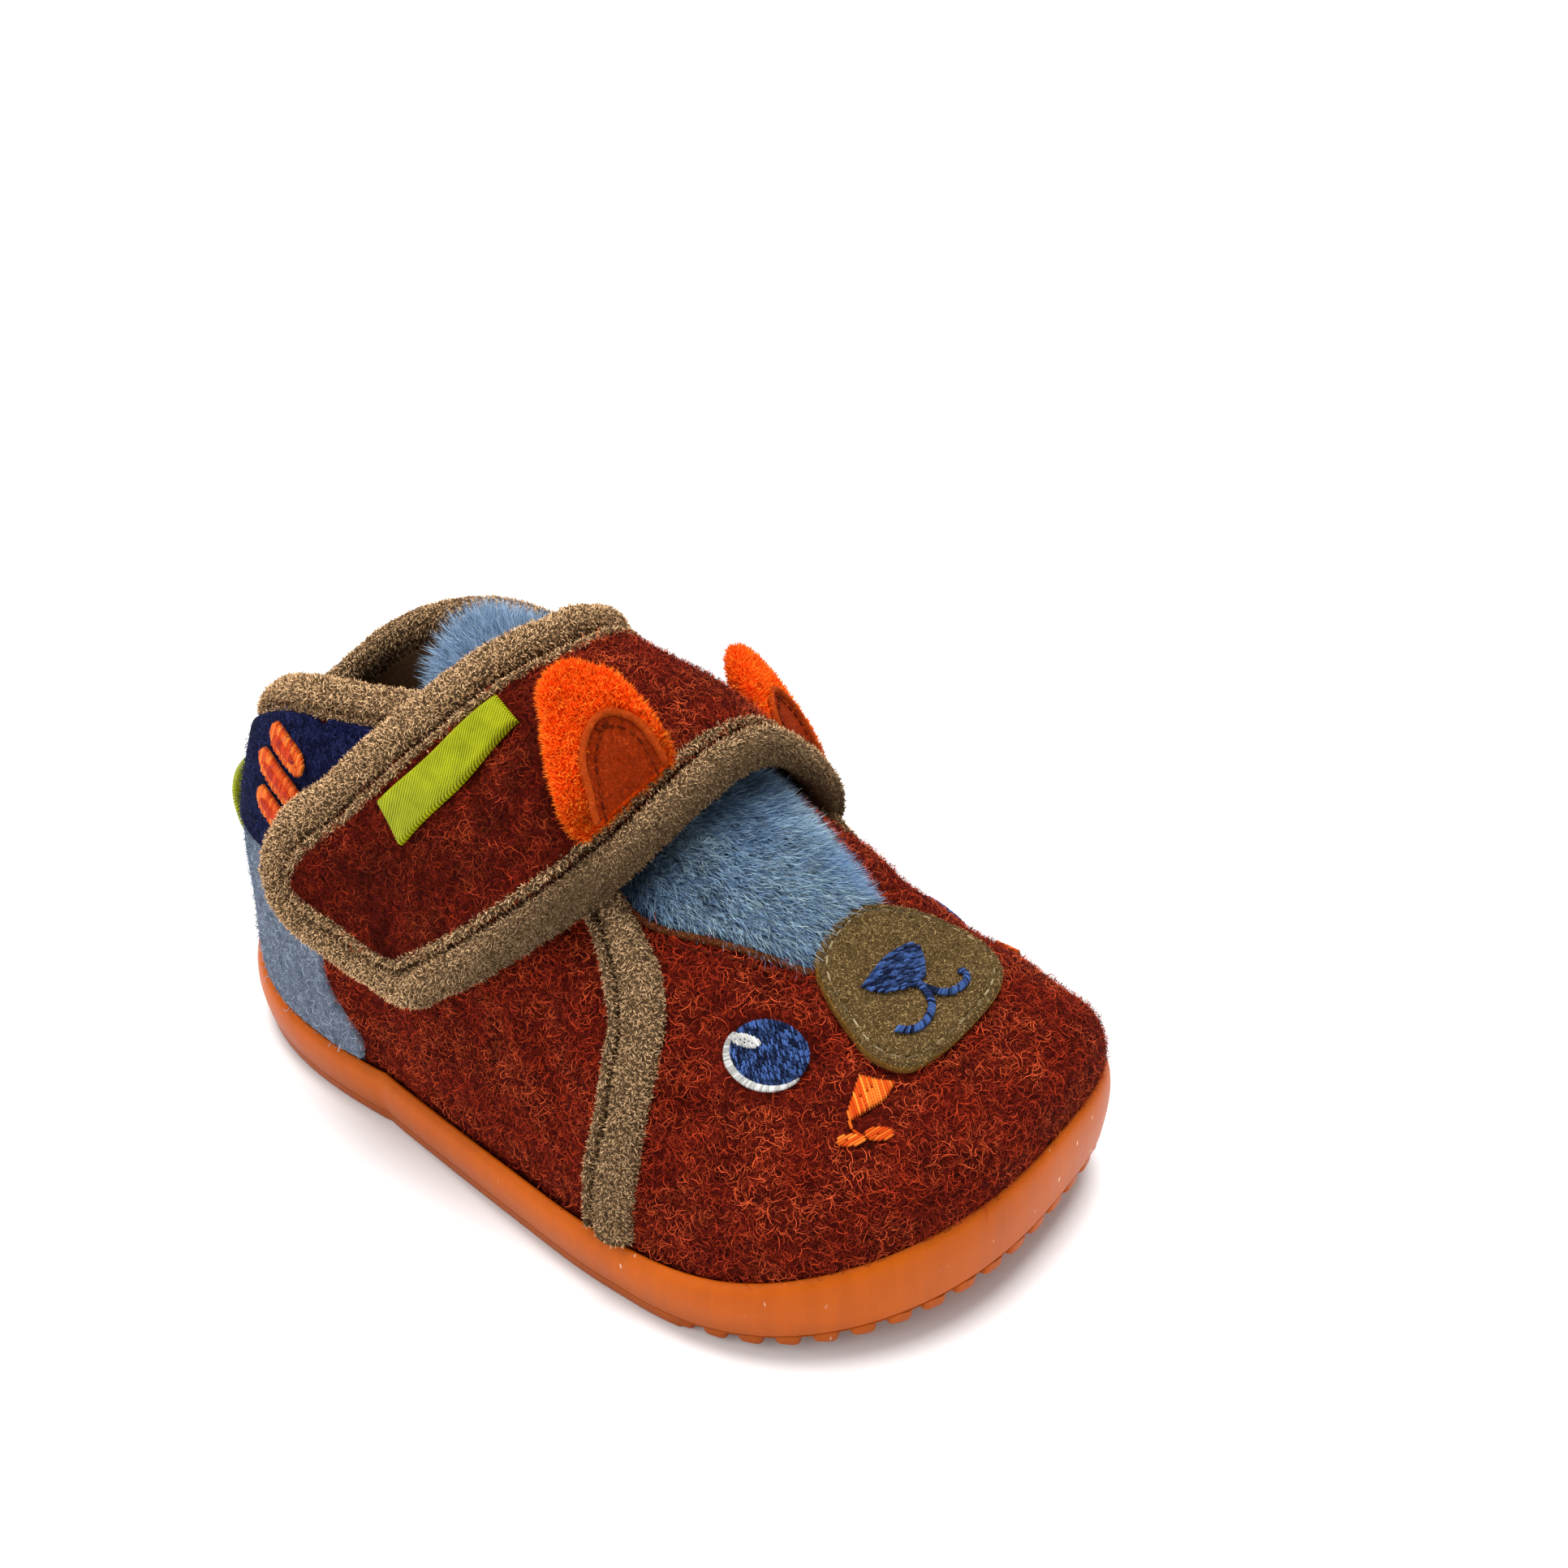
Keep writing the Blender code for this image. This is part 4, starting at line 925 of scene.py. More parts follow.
FINISHES = {
    felt_look: (  # dark, middle and light; scale of the clouds and of the hairs, and the bump's depth
        ("rust_felt", (0.018, 0.0016, 0.0012), (0.066, 0.0042, 0.0023), (0.24, 0.020, 0.007)),
        ("navy_felt", (0.001, 0.0015, 0.008), (0.005, 0.006, 0.034), (0.020, 0.026, 0.10)),
        ("steel_felt", (0.07, 0.09, 0.13), (0.15, 0.18, 0.245), (0.28, 0.33, 0.41)),
        ("muzzle_felt", (0.030, 0.017, 0.006), (0.10, 0.060, 0.020), (0.24, 0.15, 0.06), 700.0, 1900.0, 0.2),
        ("muzzle_edge", (0.12, 0.05, 0.008), (0.26, 0.125, 0.022), (0.42, 0.24, 0.06), 700.0, 1800.0),
        ("binding_nap", (0.050, 0.028, 0.014), (0.14, 0.082, 0.040), (0.26, 0.16, 0.08), 600.0, 1500.0, 0.5),
        ("plush_ground", (0.008, 0.016, 0.032), (0.030, 0.052, 0.090), (0.08, 0.12, 0.18), 400.0),
        ("ear_ground", (0.55, 0.035, 0.001), (0.80, 0.060, 0.002), (1.0, 0.12, 0.004), 400.0),
        ("ear_suede", (0.15, 0.011, 0.001), (0.25, 0.021, 0.002), (0.40, 0.045, 0.006), 300.0, 1500.0, 0.2),
        ("ear_piping", (0.28, 0.028, 0.003), (0.42, 0.050, 0.005), (0.58, 0.090, 0.012), 300.0, 1500.0, 0.2),
        ("throat_edge", (0.05, 0.010, 0.004), (0.13, 0.032, 0.010), (0.27, 0.10, 0.034), 600.0, 1600.0),
    ),
    strand_look: (  # root, dark and light tip; root's end, roughness, second light tip and its scale
        ("rust_strands", (0.10, 0.0055, 0.003), (0.080, 0.0045, 0.0026), (0.56, 0.050, 0.013), 0.35, 0.9,
         (0.82, 0.120, 0.034), 150.0),
        ("navy_strands", (0.002, 0.003, 0.015), (0.005, 0.006, 0.032), (0.040, 0.050, 0.16), 0.4),
        ("steel_strands", (0.09, 0.12, 0.17), (0.13, 0.17, 0.23), (0.50, 0.57, 0.67), 0.4),
        ("plush_strands", (0.012, 0.028, 0.064), (0.15, 0.27, 0.48), (0.78, 1.0, 1.0), 0.80, 0.6,
         (0.56, 0.80, 1.0), 90.0),
        ("pale_plush_strands", (0.06, 0.105, 0.18), (0.26, 0.41, 0.60), (0.66, 0.83, 1.0), 0.8, 0.6),
        ("ear_strands", (0.98, 0.066, 0.002), (1.0, 0.115, 0.004), (1.0, 0.31, 0.026), 0.6, 0.7),
        ("binding_strands", (0.17, 0.098, 0.046), (0.41, 0.245, 0.119), (0.97, 0.635, 0.345), 0.5, 0.9),
        ("muzzle_strands", (0.08, 0.046, 0.015), (0.085, 0.050, 0.017), (0.44, 0.29, 0.12)),
    ),
    thread_look: (  # dark and light; roughness and shine
        ("blue_thread", (0.002, 0.005, 0.030), (0.082, 0.175, 0.50)),
        ("white_thread", (0.46, 0.45, 0.42), (0.95, 0.95, 0.93)),
        ("orange_thread", (0.58, 0.055, 0.003), (1.0, 0.26, 0.030), 0.5, 0.08),
        ("red_thread", (0.42, 0.020, 0.002), (0.78, 0.070, 0.006), 0.5, 0.08),
        ("olive_thread", (0.12, 0.085, 0.040), (0.45, 0.35, 0.19), 0.8, 0.08),
        ("suede_thread", (0.10, 0.009, 0.001), (0.24, 0.026, 0.003), 0.8, 0.05),
        ("rust_thread", (0.065, 0.008, 0.003), (0.20, 0.030, 0.008), 0.8, 0.05),
    ),
    ribbon_look: (("lime_ribbon", (0.11, 0.13, 0.001), (0.42, 0.45, 0.004)),),
    rubber_look: (("gum_rubber", (0.39, 0.066, 0.001), (0.50, 0.098, 0.002), (0.78, 0.60, 0.42)),),
    lining_look: (("lining", (0.05, 0.024, 0.010), (0.20, 0.105, 0.048)),),
    floor_look: (("pale_floor", (0.90, 0.90, 0.90), (0.92, 0.92, 0.92)),),
}
for make_look, finish_rows in FINISHES.items():
    for finish_row in finish_rows:
        make_look(*finish_row)

FIBRE_COAT = fibre_tree()
SEWN_STITCHES = stitch_tree()
THREAD = thread_shape()
FELT_CURLS = flat_curls("felt_curls", (2.2, -3.0, 3.8, -1.2), 3, 0.044)
TERRY_LOOPS = flat_curls("terry_loops", (0.5, -0.7), 1, 0.34)
PLUSH_HAIRS = plush_hairs("plush_hairs", ((0.22, 0.03), (-0.16, 0.05), (0.34, -0.04)))


def pile_style(strands, per_square_mm, length, width, **ways):
    """Sizes and ways of a coat of strands, named as in its tree. Lengths are in millimetres."""
    sizes = dict(per_square_metre=per_square_mm / MM**2, length=length * MM, width=width * MM)
    return dict(strands=strands, **sizes, **ways)


WOOL = pile_style(
    FELT_CURLS, 4.2, 2.0, 2.0, upright=0.08, nap=0.0, tangle=0.9, uneven=0.45, spin=0.45, lie=0.85
)
THIN_WOOL = dict(WOOL, per_square_metre=1.2 / MM**2)
FLECKS = pile_style(
    TERRY_LOOPS, 17.0, 0.42, 0.42, upright=0.1, nap=0.0, tangle=0.9, uneven=0.4, spin=0.5, lie=0.7
)
TERRY = pile_style(
    TERRY_LOOPS, 14.2, 0.54, 0.54, upright=0.3, nap=0.2, tangle=0.9, uneven=0.35, spin=0.6, lie=0.45
)
PLUSH = pile_style(
    PLUSH_HAIRS, 32.0, 2.5, 0.080, upright=0.60, nap=0.60, tangle=0.40, uneven=0.35, spin=np.pi
)
TONGUE_TOP = pile_style(
    PLUSH_HAIRS, 26.0, 3.4, 0.085, upright=0.75, nap=0.45, tangle=0.50, uneven=0.35, spin=np.pi
)
EAR_FUR = pile_style(
    PLUSH_HAIRS, 24.0, 0.95, 0.17, upright=0.55, nap=0.30, tangle=0.60, uneven=0.35, spin=np.pi
)


def coat(base, look, style, seed=1):
    """A coat of strands on a base mesh, as a piece of its own with the base's name."""
    name = base.name
    add_piece(name, grown(name, base, FIBRE_COAT, seed=seed, finish=LOOKS[look], **style))


def stitches(name, rows, look, width, height, seed=1):
    """Stitches as a piece of their own. A row holds the two ends in millimetres and the normal."""
    starts, ends, normals = (np.array(column) for column in zip(*rows))
    data = bpy.data.meshes.new(name)
    data.from_pydata(to_row((starts + ends) / 2).tolist(), [], [])
    set_values(data, "stitch", (ends - starts) * MM)
    set_values(data, "up", normals)
    sizes = dict(width=width * MM, height=height * MM, seed=seed, thread=THREAD)
    add_piece(name, grown(name, data, SEWN_STITCHES, finish=LOOKS[look], **sizes))


def seam(path, normals, pitch, length):
    """A row of stitches along a path: ends and normal of each."""
    places = even_steps(path, pitch)
    middles = pick(path, places)
    ways = unit(np.gradient(middles, axis=0)) * length / 2
    return list(zip(middles - ways, middles + ways, unit(pick(normals, places))))


# Upper and heel panels

def felt_rise(u, v):
    """Unevenness of the upper's felt: soft dents and creases."""
    points = skin(u, v)
    depth = np.zeros(points.shape[:-1])
    for u0, v0, u1, v1, deep, half in CREASES:
        start = skin(u0, v0)
        way = skin(u1, v1) - start
        t = np.clip((points - start) @ way / (way @ way), 0.0, 1.0)
        away = np.linalg.norm(points - start - t[..., None] * way, axis=-1)
        fold = np.exp(-((away / half) ** 2))
        swell = np.exp(-(((away - 2 * half) / half) ** 2))
        depth += deep * fold - 0.35 * deep * swell
    return wobble(points, 14.0, 0.45) + wobble(points, 5.0, 0.16, 7.0) - depth


def muzzle_edge():
    """Radius of the muzzle patch's outline over the angle, both in parts of its half sizes."""
    parts = (np.array(MUZZLE_OUTLINE) - MUZZLE_CENTRE) / MUZZLE_HALF
    angles = np.arctan2(parts[:, 1], parts[:, 0])
    order = np.argsort(angles)
    angles, radii = angles[order], np.hypot(*parts.T)[order]
    turns = np.concatenate((angles - 2 * np.pi, angles, angles + 2 * np.pi))
    return curve(turns, np.tile(radii, 3))


MUZZLE_RIM = muzzle_edge()


def muzzle_radius(u, v):
    """1 on the outline of the muzzle patch."""
    along = (u - MUZZLE_CENTRE[0]) / MUZZLE_HALF[0]
    across = (v - MUZZLE_CENTRE[1]) / MUZZLE_HALF[1]
    return np.hypot(along, across) / MUZZLE_RIM(np.arctan2(across, along))


def muzzle_places(radius, turn):
    """Hoop and v on the muzzle patch from a part of its radius and an angle."""
    reach = radius * MUZZLE_RIM(turn)
    u = MUZZLE_CENTRE[0] + MUZZLE_HALF[0] * reach * np.cos(turn)
    return u, MUZZLE_CENTRE[1] + MUZZLE_HALF[1] * reach * np.sin(turn)


def over_rim(points, margin):
    """Whether points stand over the cup's rim lowered by a margin."""
    x = points[..., 0]
    return points[..., 2] >= RIM(x) + lift(x) - margin


def upper_shows(u, v):
    """Where nothing covers the upper's felt: no strap, muzzle, band, heel panel, embroidery or cup."""
    points = skin(u, v)
    hidden = (u > STRAP_REAR(v) + 0.12) & (u < STRAP_FRONT(v) - 0.12) & (v < 0.80) & (v > STRAP_TIP)
    hidden |= muzzle_radius(u, v) < 0.93
    for side, rows in QUARTER_ROWS.items():
        rear, front = table_curves(rows)
        hidden |= (side * v > side * rows[0][0]) & (u > rear(v) + 0.06) & (u < front(v) - 0.06)
    hidden |= (u < 4.5) & (points[..., 2] < LOWER_PANEL_TOP(np.abs(v)))
    reach, front = (np.where(v < 0, *sides) for sides in (UPPER_PANEL_REACH, UPPER_PANEL_FRONT))
    hidden |= (np.abs(v) < reach) & (points[..., 0] < front)
    turned = np.abs(v) - np.where(v > 0, FACE_SHIFT[1], FACE_SHIFT[-1])
    axes = np.array((EYE_LONG, EYE_SHORT)) * (1.0, -1.0)
    parts = np.stack((u - EYE_CENTRE[0], turned - EYE_CENTRE[1]), -1) @ np.linalg.inv(axes)
    hidden |= np.hypot(parts[..., 0], parts[..., 1]) < 1.2
    for hoop, half_hoop, angle, half_angle in CHEEK_FIELDS:
        hidden |= np.hypot((u - hoop) / half_hoop, (turned - angle) / half_angle) < 1.0
    return ~hidden & over_rim(points, 0.5)


def make_upper():
    """The hollow felt wall with its lining, its loose fibres, and a hem in the cup."""
    heel_edge = heel_hoop(COLLAR_BAND)
    swing = (1 - np.cos(np.linspace(0.0, np.pi, 92))) / 2
    behind, ahead = np.linspace(0.0, heel_edge, 16)[:-1], np.linspace(THROAT_TIP, LAST_HOOP, 36)[1:]
    hoops = np.concatenate((behind, heel_edge + (THROAT_TIP - heel_edge) * swing, ahead))[:, None]
    grids, piles = [], []
    for side in SIDES:
        edge = np.maximum(collar_v(hoops, side, COLLAR_BAND), throat_v(hoops, side))
        v = side * (edge + (1 - edge) * np.linspace(0.0, 1.0, 38))[:, ::side]
        u = hoops + 0 * v
        grids.append(skin_out(u, v, felt_rise(u, v)))
        piles.append(upper_shows(u, v))
    coat(grid_mesh("upper_fibres", grids, pile=piles), "rust_strands", WOOL)
    data = grid_mesh("upper_felt", grids)
    mesh = bmesh.new()
    mesh.from_mesh(data)

    def on_feather(point):
        x, _, z = np.array(point.co) / MM + ORIGIN
        return abs(z - FEATHER_Z - lift(x)) < 1.2

    low = [point for point in mesh.verts if on_feather(point)]
    bmesh.ops.remove_doubles(mesh, verts=low, dist=FEATHER_WELD * MM)
    feather = [edge for edge in mesh.edges if edge.is_boundary and all(map(on_feather, edge.verts))]
    for part in bmesh.ops.extrude_edge_only(mesh, edges=feather)["geom"]:
        if isinstance(part, bmesh.types.BMVert):
            part.co.z -= (FEATHER_Z - FLOOR_Z - GAP) * MM
    mesh.to_mesh(data)
    mesh.free()
    upper = add_piece("upper_felt", data, "rust_felt", node="upper")
    data.materials.append(LOOKS["lining"])
    thicken(upper, WALL).material_offset = 1


def edge_share(count, border=0.04):
    """Shares from 0 to 1 with close rows near both ends."""
    near = border * np.array((0.0, 0.1, 0.3, 0.6))
    return np.concatenate((near, np.linspace(border, 1 - border, count), 1 - near[::-1]))


def panel_out(points, thickness, roll=1.0):
    """Height of a panel over the surface: rounded down to it along the borders of the grid."""
    away = np.inf
    for axis in (0, 1):
        steps = np.linalg.norm(np.diff(points, axis=axis), axis=-1)
        run = np.insert(np.cumsum(steps, axis=axis), 0, 0.0, axis=axis)
        away = np.minimum(away, np.minimum(run, run.max(axis=axis, keepdims=True) - run))
    t = np.clip(away / roll, 0.0, 1.0)
    return thickness * np.sqrt(1 - (1 - t) ** 2) - 0.4 * (1 - t) ** 2


def make_heel_panel(name, v, low, high, colour, thickness):
    """A felt panel round the heel between two hoops at each angle."""
    u = low[:, None] + (high - low)[:, None] * edge_share(26)
    v = v[:, None] + 0 * u
    flat = skin(u, v)
    points = skin_out(u, v, panel_out(flat, thickness) + wobble(flat, 12.0, 0.3))[:, ::-1]
    add_piece(name, grid_mesh(name, [points]), colour + "_felt")
    base = grid_mesh(name + "_fibres", [points], pile=np.ones(u.shape))
    coat(base, colour + "_strands", THIN_WOOL, 4)


def make_heel_panels():
    """The lower panel over the sole, the upper one under the collar, and the piece that goes on in front."""
    angles = edge_share(90, 0.012) * 2 - 1
    low = angles * LOWER_PANEL_REACH
    rim = RIM(skin(0.0, low)[:, 0]) - 1.5
    tops = np.maximum(LOWER_PANEL_TOP(np.abs(low)), rim + 0.5)
    start = hoop_at_height(low, np.minimum(rim, tops - 0.4))
    make_heel_panel("heel_lower_panel", low, start, hoop_at_height(low, tops), "steel", 0.8)
    drop = COLLAR_BAND - PANEL_TUCK
    high = angles * np.where(angles < 0, *UPPER_PANEL_REACH)
    start = hoop_at_height(high, LOWER_PANEL_TOP(np.abs(high)) - 1.2)
    hoops = np.linspace(heel_hoop(drop), 5.2, 400)
    ends = []
    for angle in high:
        side = -1 if angle < 0 else 1
        above = collar_v(hoops, side, drop) > abs(angle)
        collar = hoops[np.argmax(above)] if above.any() else hoops[-1]
        ends.append(min(collar, np.interp(UPPER_PANEL_FRONT[side > 0], skin(hoops, angle)[:, 0], hoops)))
    make_heel_panel("heel_upper_panel", high, start, np.array(ends), "navy", 1.3)
    front = np.linspace(*FRONT_PANEL, 30)
    hoops = np.linspace(4.0, 5.2, 200)
    start = hoops[np.argmax(collar_v(hoops, -1, drop) < -front[:, None], axis=1)]
    make_heel_panel("heel_panel_front", front, start, np.full(len(front), FRONT_PANEL_END), "navy", 1.28)


# Strap, bindings and bands

def strap_top(u, v):
    """Height of the strap's upper side over the last: it settles on the quarter at its root."""
    first, last = PILE_RISE_HOOPS
    forward = smooth_step((u - first) / (last - first))
    rise = PILE_RISE * forward * np.exp(-((v / PILE_HALF) ** 2))
    standoff = STANDOFF + rise - SAG * (1 - forward) * np.exp(-((v / SAG_HALF) ** 2))
    root = smooth_step((v - 0.46) / 0.36)
    tip = TIP_LIFT * smooth_step((4.75 - u) / 0.9) * smooth_step((-0.45 - v) / 0.2)
    return (standoff + STRAP) * (1 - root) + 0.15 * root + tip


def make_strap():
    """The felt flap. Its edges run on under the binding, and its root merges with the quarter."""
    flap, tip = np.linspace(STRAP_ROOT, -0.55, 72), np.linspace(-0.56, STRAP_TIP + 0.02, 20)
    v = np.concatenate((flap, tip, STRAP_TIP + np.array((0.014, 0.009, 0.005, 0.002, 0.0))))[:, None]
    share = np.concatenate(((-0.05, -0.02), np.linspace(0.0, 1.0, 40), (1.02, 1.05)))
    u = STRAP_REAR(v) + (STRAP_FRONT(v) - STRAP_REAR(v)) * share
    v = v + 0 * u
    flat = skin(u, v)
    out = strap_top(u, v) + wobble(flat, 11.0, 0.35, 3.0) + wobble(flat, 4.0, 0.12, 9.0)
    out -= 0.9 * np.clip(np.maximum(-share, share - 1) / 0.05, 0.0, 1.0)
    points = skin_out(u, v, out)
    pile = ~inside_outline(np.stack((u.ravel(), v.ravel()), -1), np.array(LABEL_OUTLINE))
    clouds = wobble(flat, 3.0, 0.9, 12.0)
    # Painted shade on the flap's lateral side, and darker clouds at random over the flap
    dim = np.clip(FLAP_PAINTED_SHADE * smooth_step((0.08 - v) / 0.35) + clouds, 0.0, 0.85)
    coat(grid_mesh("strap_fibres", [points], pile=pile, dim=dim), "rust_strands", WOOL, 2)
    thicken(add_piece("strap_felt", grid_mesh("strap_felt", [points]), "rust_felt", node="strap"), FLAP)


def roll_profile(width, inner, height=1.0):
    """The rolled profile with its ridge's edge at inner and a width of its own."""
    rows = np.array(ROLL_PROFILE + ROLL_PROFILE[:1])
    low, high = rows[:, 0].min(), rows[:, 0].max()
    rows[:, 0] = inner + (rows[:, 0] - low) * (width / (high - low))
    rows[:, 1] *= height
    count = len(ROLL_PROFILE)
    return columns_at(rows, np.linspace(0.0, count, 2 * count, endpoint=False))


def add_roll(name, rings, node, seed, dim, under=0.1, clear=True):
    """A roll of binding and its nap, which is bare in the groove and has its own density underneath."""
    add_piece(name, tube_mesh(name, rings), "binding_nap", node)
    row = np.arange(rings.shape[1]) / 2
    groove = np.where(np.abs(row - ROLL_GROOVE) < 1.0, 0.0, 1.0)
    lower = np.where((row > ROLL_UNDER[0]) & (row < ROLL_UNDER[1]), under, 1.0)
    pile = np.broadcast_to(groove * lower, rings.shape[:2]) * clear
    nap = unit(np.roll(rings, -1, axis=1) - np.roll(rings, 1, axis=1))
    base = tube_mesh(name + "_nap", rings, pile=pile, nap=nap, dim=dim)
    coat(base, "binding_strands", TERRY, seed)


def make_roll(name, points, normals, profile, node, seed, under=0.1):
    """A roll along a path, uneven, with painted shade where it faces forwards and down."""
    stretch = 1 + 0.05 * np.array([noise.noise(Vector((d / 6.0, seed, 0.0))) for d in path_run(points)])
    rings = sweep(points, normals, profile * stretch[:, None, None])
    rings += unit(rings - points[:, None]) * wobble(rings, 2.2, 0.16, seed)[..., None]
    way = unit(rings - points[:, None])
    # Painted shade: darker where the roll faces forwards and down
    dim = 0.75 * smooth_step((way[..., 0] - 0.3) / 0.5) * smooth_step((0.35 - way[..., 2]) / 0.6)
    add_roll(name, rings, node, seed, dim, under)


def make_collar_roll():
    """The rolled band on the edge of the collar, from the lateral throat round the heel."""
    drop = COLLAR_BAND / 2 - GAP / 2
    start = heel_hoop(drop)
    t = np.linspace(-1.0, 1.0, 241)
    u = start + (np.where(t < 0, *COLLAR_ENDS) - start) * t * t
    v = np.where(t < 0, -collar_v(u, -1, drop), collar_v(u, 1, drop))
    places = even_steps(skin(u, v), 1.0)
    u, v = pick(u, places), pick(v, places)
    normals = skin_normal(u, v)
    path = skin(u, v) - normals * WALL / 2
    make_roll("collar_roll", path, normals, roll_profile(5.9, -3.2, 0.9), "collar_binding", 3, 0.9)


def make_strap_roll():
    """The rolled band round the strap: along its rear edge, about the tip and back along the front."""
    v = np.linspace(BINDING_FROM, STRAP_TIP, 200)
    rear, front = STRAP_REAR(v), STRAP_FRONT(v)
    tip = rear[-1] + (front[-1] - rear[-1]) * np.linspace(0.0, 1.0, 12)[1:-1]
    u = np.concatenate((rear, tip, front[::-1]))
    v = np.concatenate((v, np.full(len(tip), v[-1]), v[::-1]))
    path = skin_out(u, v, strap_top(u, v) - STRAP / 2)
    places = even_steps(path, 1.0)
    normals = skin_normal(pick(u, places), pick(v, places))
    make_roll("strap_roll", pick(path, places), normals, roll_profile(7.4, -0.55), "strap_binding", 5)


def make_quarter_band(side):
    """The band down the front edge of a quarter: a flat roll with its ridge on the quarter's side."""
    rows = QUARTER_ROWS[side]
    rear, front = table_curves(rows)
    v = np.linspace(rows[0][0], rows[-1][0], 120)
    v = pick(v, even_steps(skin((rear(v) + front(v)) / 2, v), 1.0))
    left, right = skin(rear(v), v), skin(front(v), v)
    width = np.linalg.norm(right - left, axis=1)[:, None, None]
    normals = skin_normal((rear(v) + front(v)) / 2, v)[:, None]
    profile = roll_profile(1.0, 0.0)
    profile[:, 1] = np.maximum(profile[:, 1], -0.8) * 0.92 + 0.45
    rings = left[:, None] + unit(right - left)[:, None] * (profile[:, :1] * width) + normals * profile[:, 1:]
    rings += wobble(rings, 3.0, 0.2, 4.0)[..., None] * normals
    dim = np.full(rings.shape[:2], QUARTER_DIM)
    clear = over_rim(rings, 0.6)
    add_roll("quarter_band_" + SIDES[side], rings, "quarter_binding_" + SIDES[side], 6, dim, clear=clear)


# Tongue and throat

def tongue_field(name, u, v, out, nap_forward, shown, style, look, seed):
    """One field of the tongue's plush with its pile, and a painted shadow of the strap's front edge on it.
    """
    points = skin_out(u, v, out)
    along = unit(skin(u + 0.05, v) - skin(u - 0.05, v))
    spread = unit(skin(u, v + 0.02) - skin(u, v - 0.02)) * np.sign(v)[..., None]
    # Painted shadow of the strap's front edge, on the front field only, plus darker patches in clumps; both
    # go into dim
    dim = 0.80 * (1 - smooth_step((np.abs(u - STRAP_FRONT(v)) - 0.05) / 0.8)) * (nap_forward > 0)
    clumps = wobble(points, 2.2, 0.40, 6.0) + wobble(points, 6.0, 0.25, 8.0) - 0.08
    values = dict(pile=shown, nap=along * nap_forward + spread * 0.15, dim=np.clip(dim + clumps, 0.0, 0.85))
    coat(grid_mesh(name, [points], **values), look, style, seed)
    return points


def make_tongue():
    """The plush tongue: a soft pad that fills the throat, and its top edge behind the strap."""
    hoops = np.linspace(5.7, 8.55, 60)[:, None]
    share = np.concatenate(((-1.12,), np.linspace(-1.0, 1.0, 34), (1.12,)))[None]
    throat = np.where(share < 0, throat_v(hoops, -1), throat_v(hoops, 1))
    v = share * np.maximum(throat - 0.004, 0.02)
    u = hoops + 0 * v
    room = 1 - np.clip(np.abs(share), 0.0, 1.0) ** 3
    out = -1.3 + 2.3 * room - 12.0 * np.maximum(np.abs(share) - 1, 0.0)
    shown = (np.abs(share) < 0.89) & (u > 6.1) & (muzzle_radius(u, v) > 1.10)
    front = tongue_field("throat_pile", u, v, out, 1.0, shown, PLUSH, "plush_strands", 8)
    hoops = np.linspace(4.60, 5.75, 30)[:, None]
    share = np.linspace(0.0, 1.0, 32)[None]
    lateral, medial = (edge(hoops) for edge in TONGUE_EDGES)
    v = -1.25 * lateral * (1 - share) + medial * share
    u = hoops + 0 * v
    top = np.maximum((TONGUE_LEAN_FROM - u) / (TONGUE_LEAN_FROM - TONGUE_ROWS[0][0]), 0.0)
    out = -WALL - GAP - TONGUE_LEAN * top**2
    back = tongue_field("tongue_top_pile", u, v, out, -0.9, u < 5.5, TONGUE_TOP, "pale_plush_strands", 9)
    data = grid_mesh("tongue_plush", [front, back])
    thicken(add_piece("tongue_plush", data, "plush_ground", "tongue"), TONGUE)


def make_throat_edges():
    """The turned edge of the vamp's felt on both sides of the throat, and its seam."""
    for side, side_name in SIDES.items():
        u = np.linspace(6.4, 8.45, 80)
        v = side * throat_v(u, side)
        path = skin_out(u, v, 0.15)
        places = even_steps(path, 0.6)
        normals = skin_normal(pick(u, places), pick(v, places))
        rings = piping(pick(path, places), normals, 0.5)
        rings += wobble(rings, 1.6, 0.15, 2.0)[..., None] * normals[:, None]
        name = "throat_edge_" + side_name
        add_piece(name, tube_mesh(name, rings), "throat_edge")
        v = v + side * 0.03
        rows = seam(skin_out(u, v, 0.35), skin_normal(u, v), 1.6, 1.2)
        stitches("throat_seam_" + side_name, rows, "rust_thread", 0.35, 0.2)


# Face: muzzle patch and embroidery

def muzzle_top(u, v):
    """Height of the muzzle patch over the last: a low dome with a rounded edge and a sewn channel."""
    radius = np.clip(muzzle_radius(u, v), 0.0, 1.0)
    edge = np.sqrt(np.clip(1 - 0.6 * ((radius - 0.93) / 0.07).clip(0.0) ** 2, 0.0, 1.0))
    channel = 0.28 * np.exp(-(((radius - 0.89) / 0.022) ** 2))
    return 0.1 + (PATCH + GAP) * edge * (0.86 + 0.14 * (1 - radius**2)) - channel


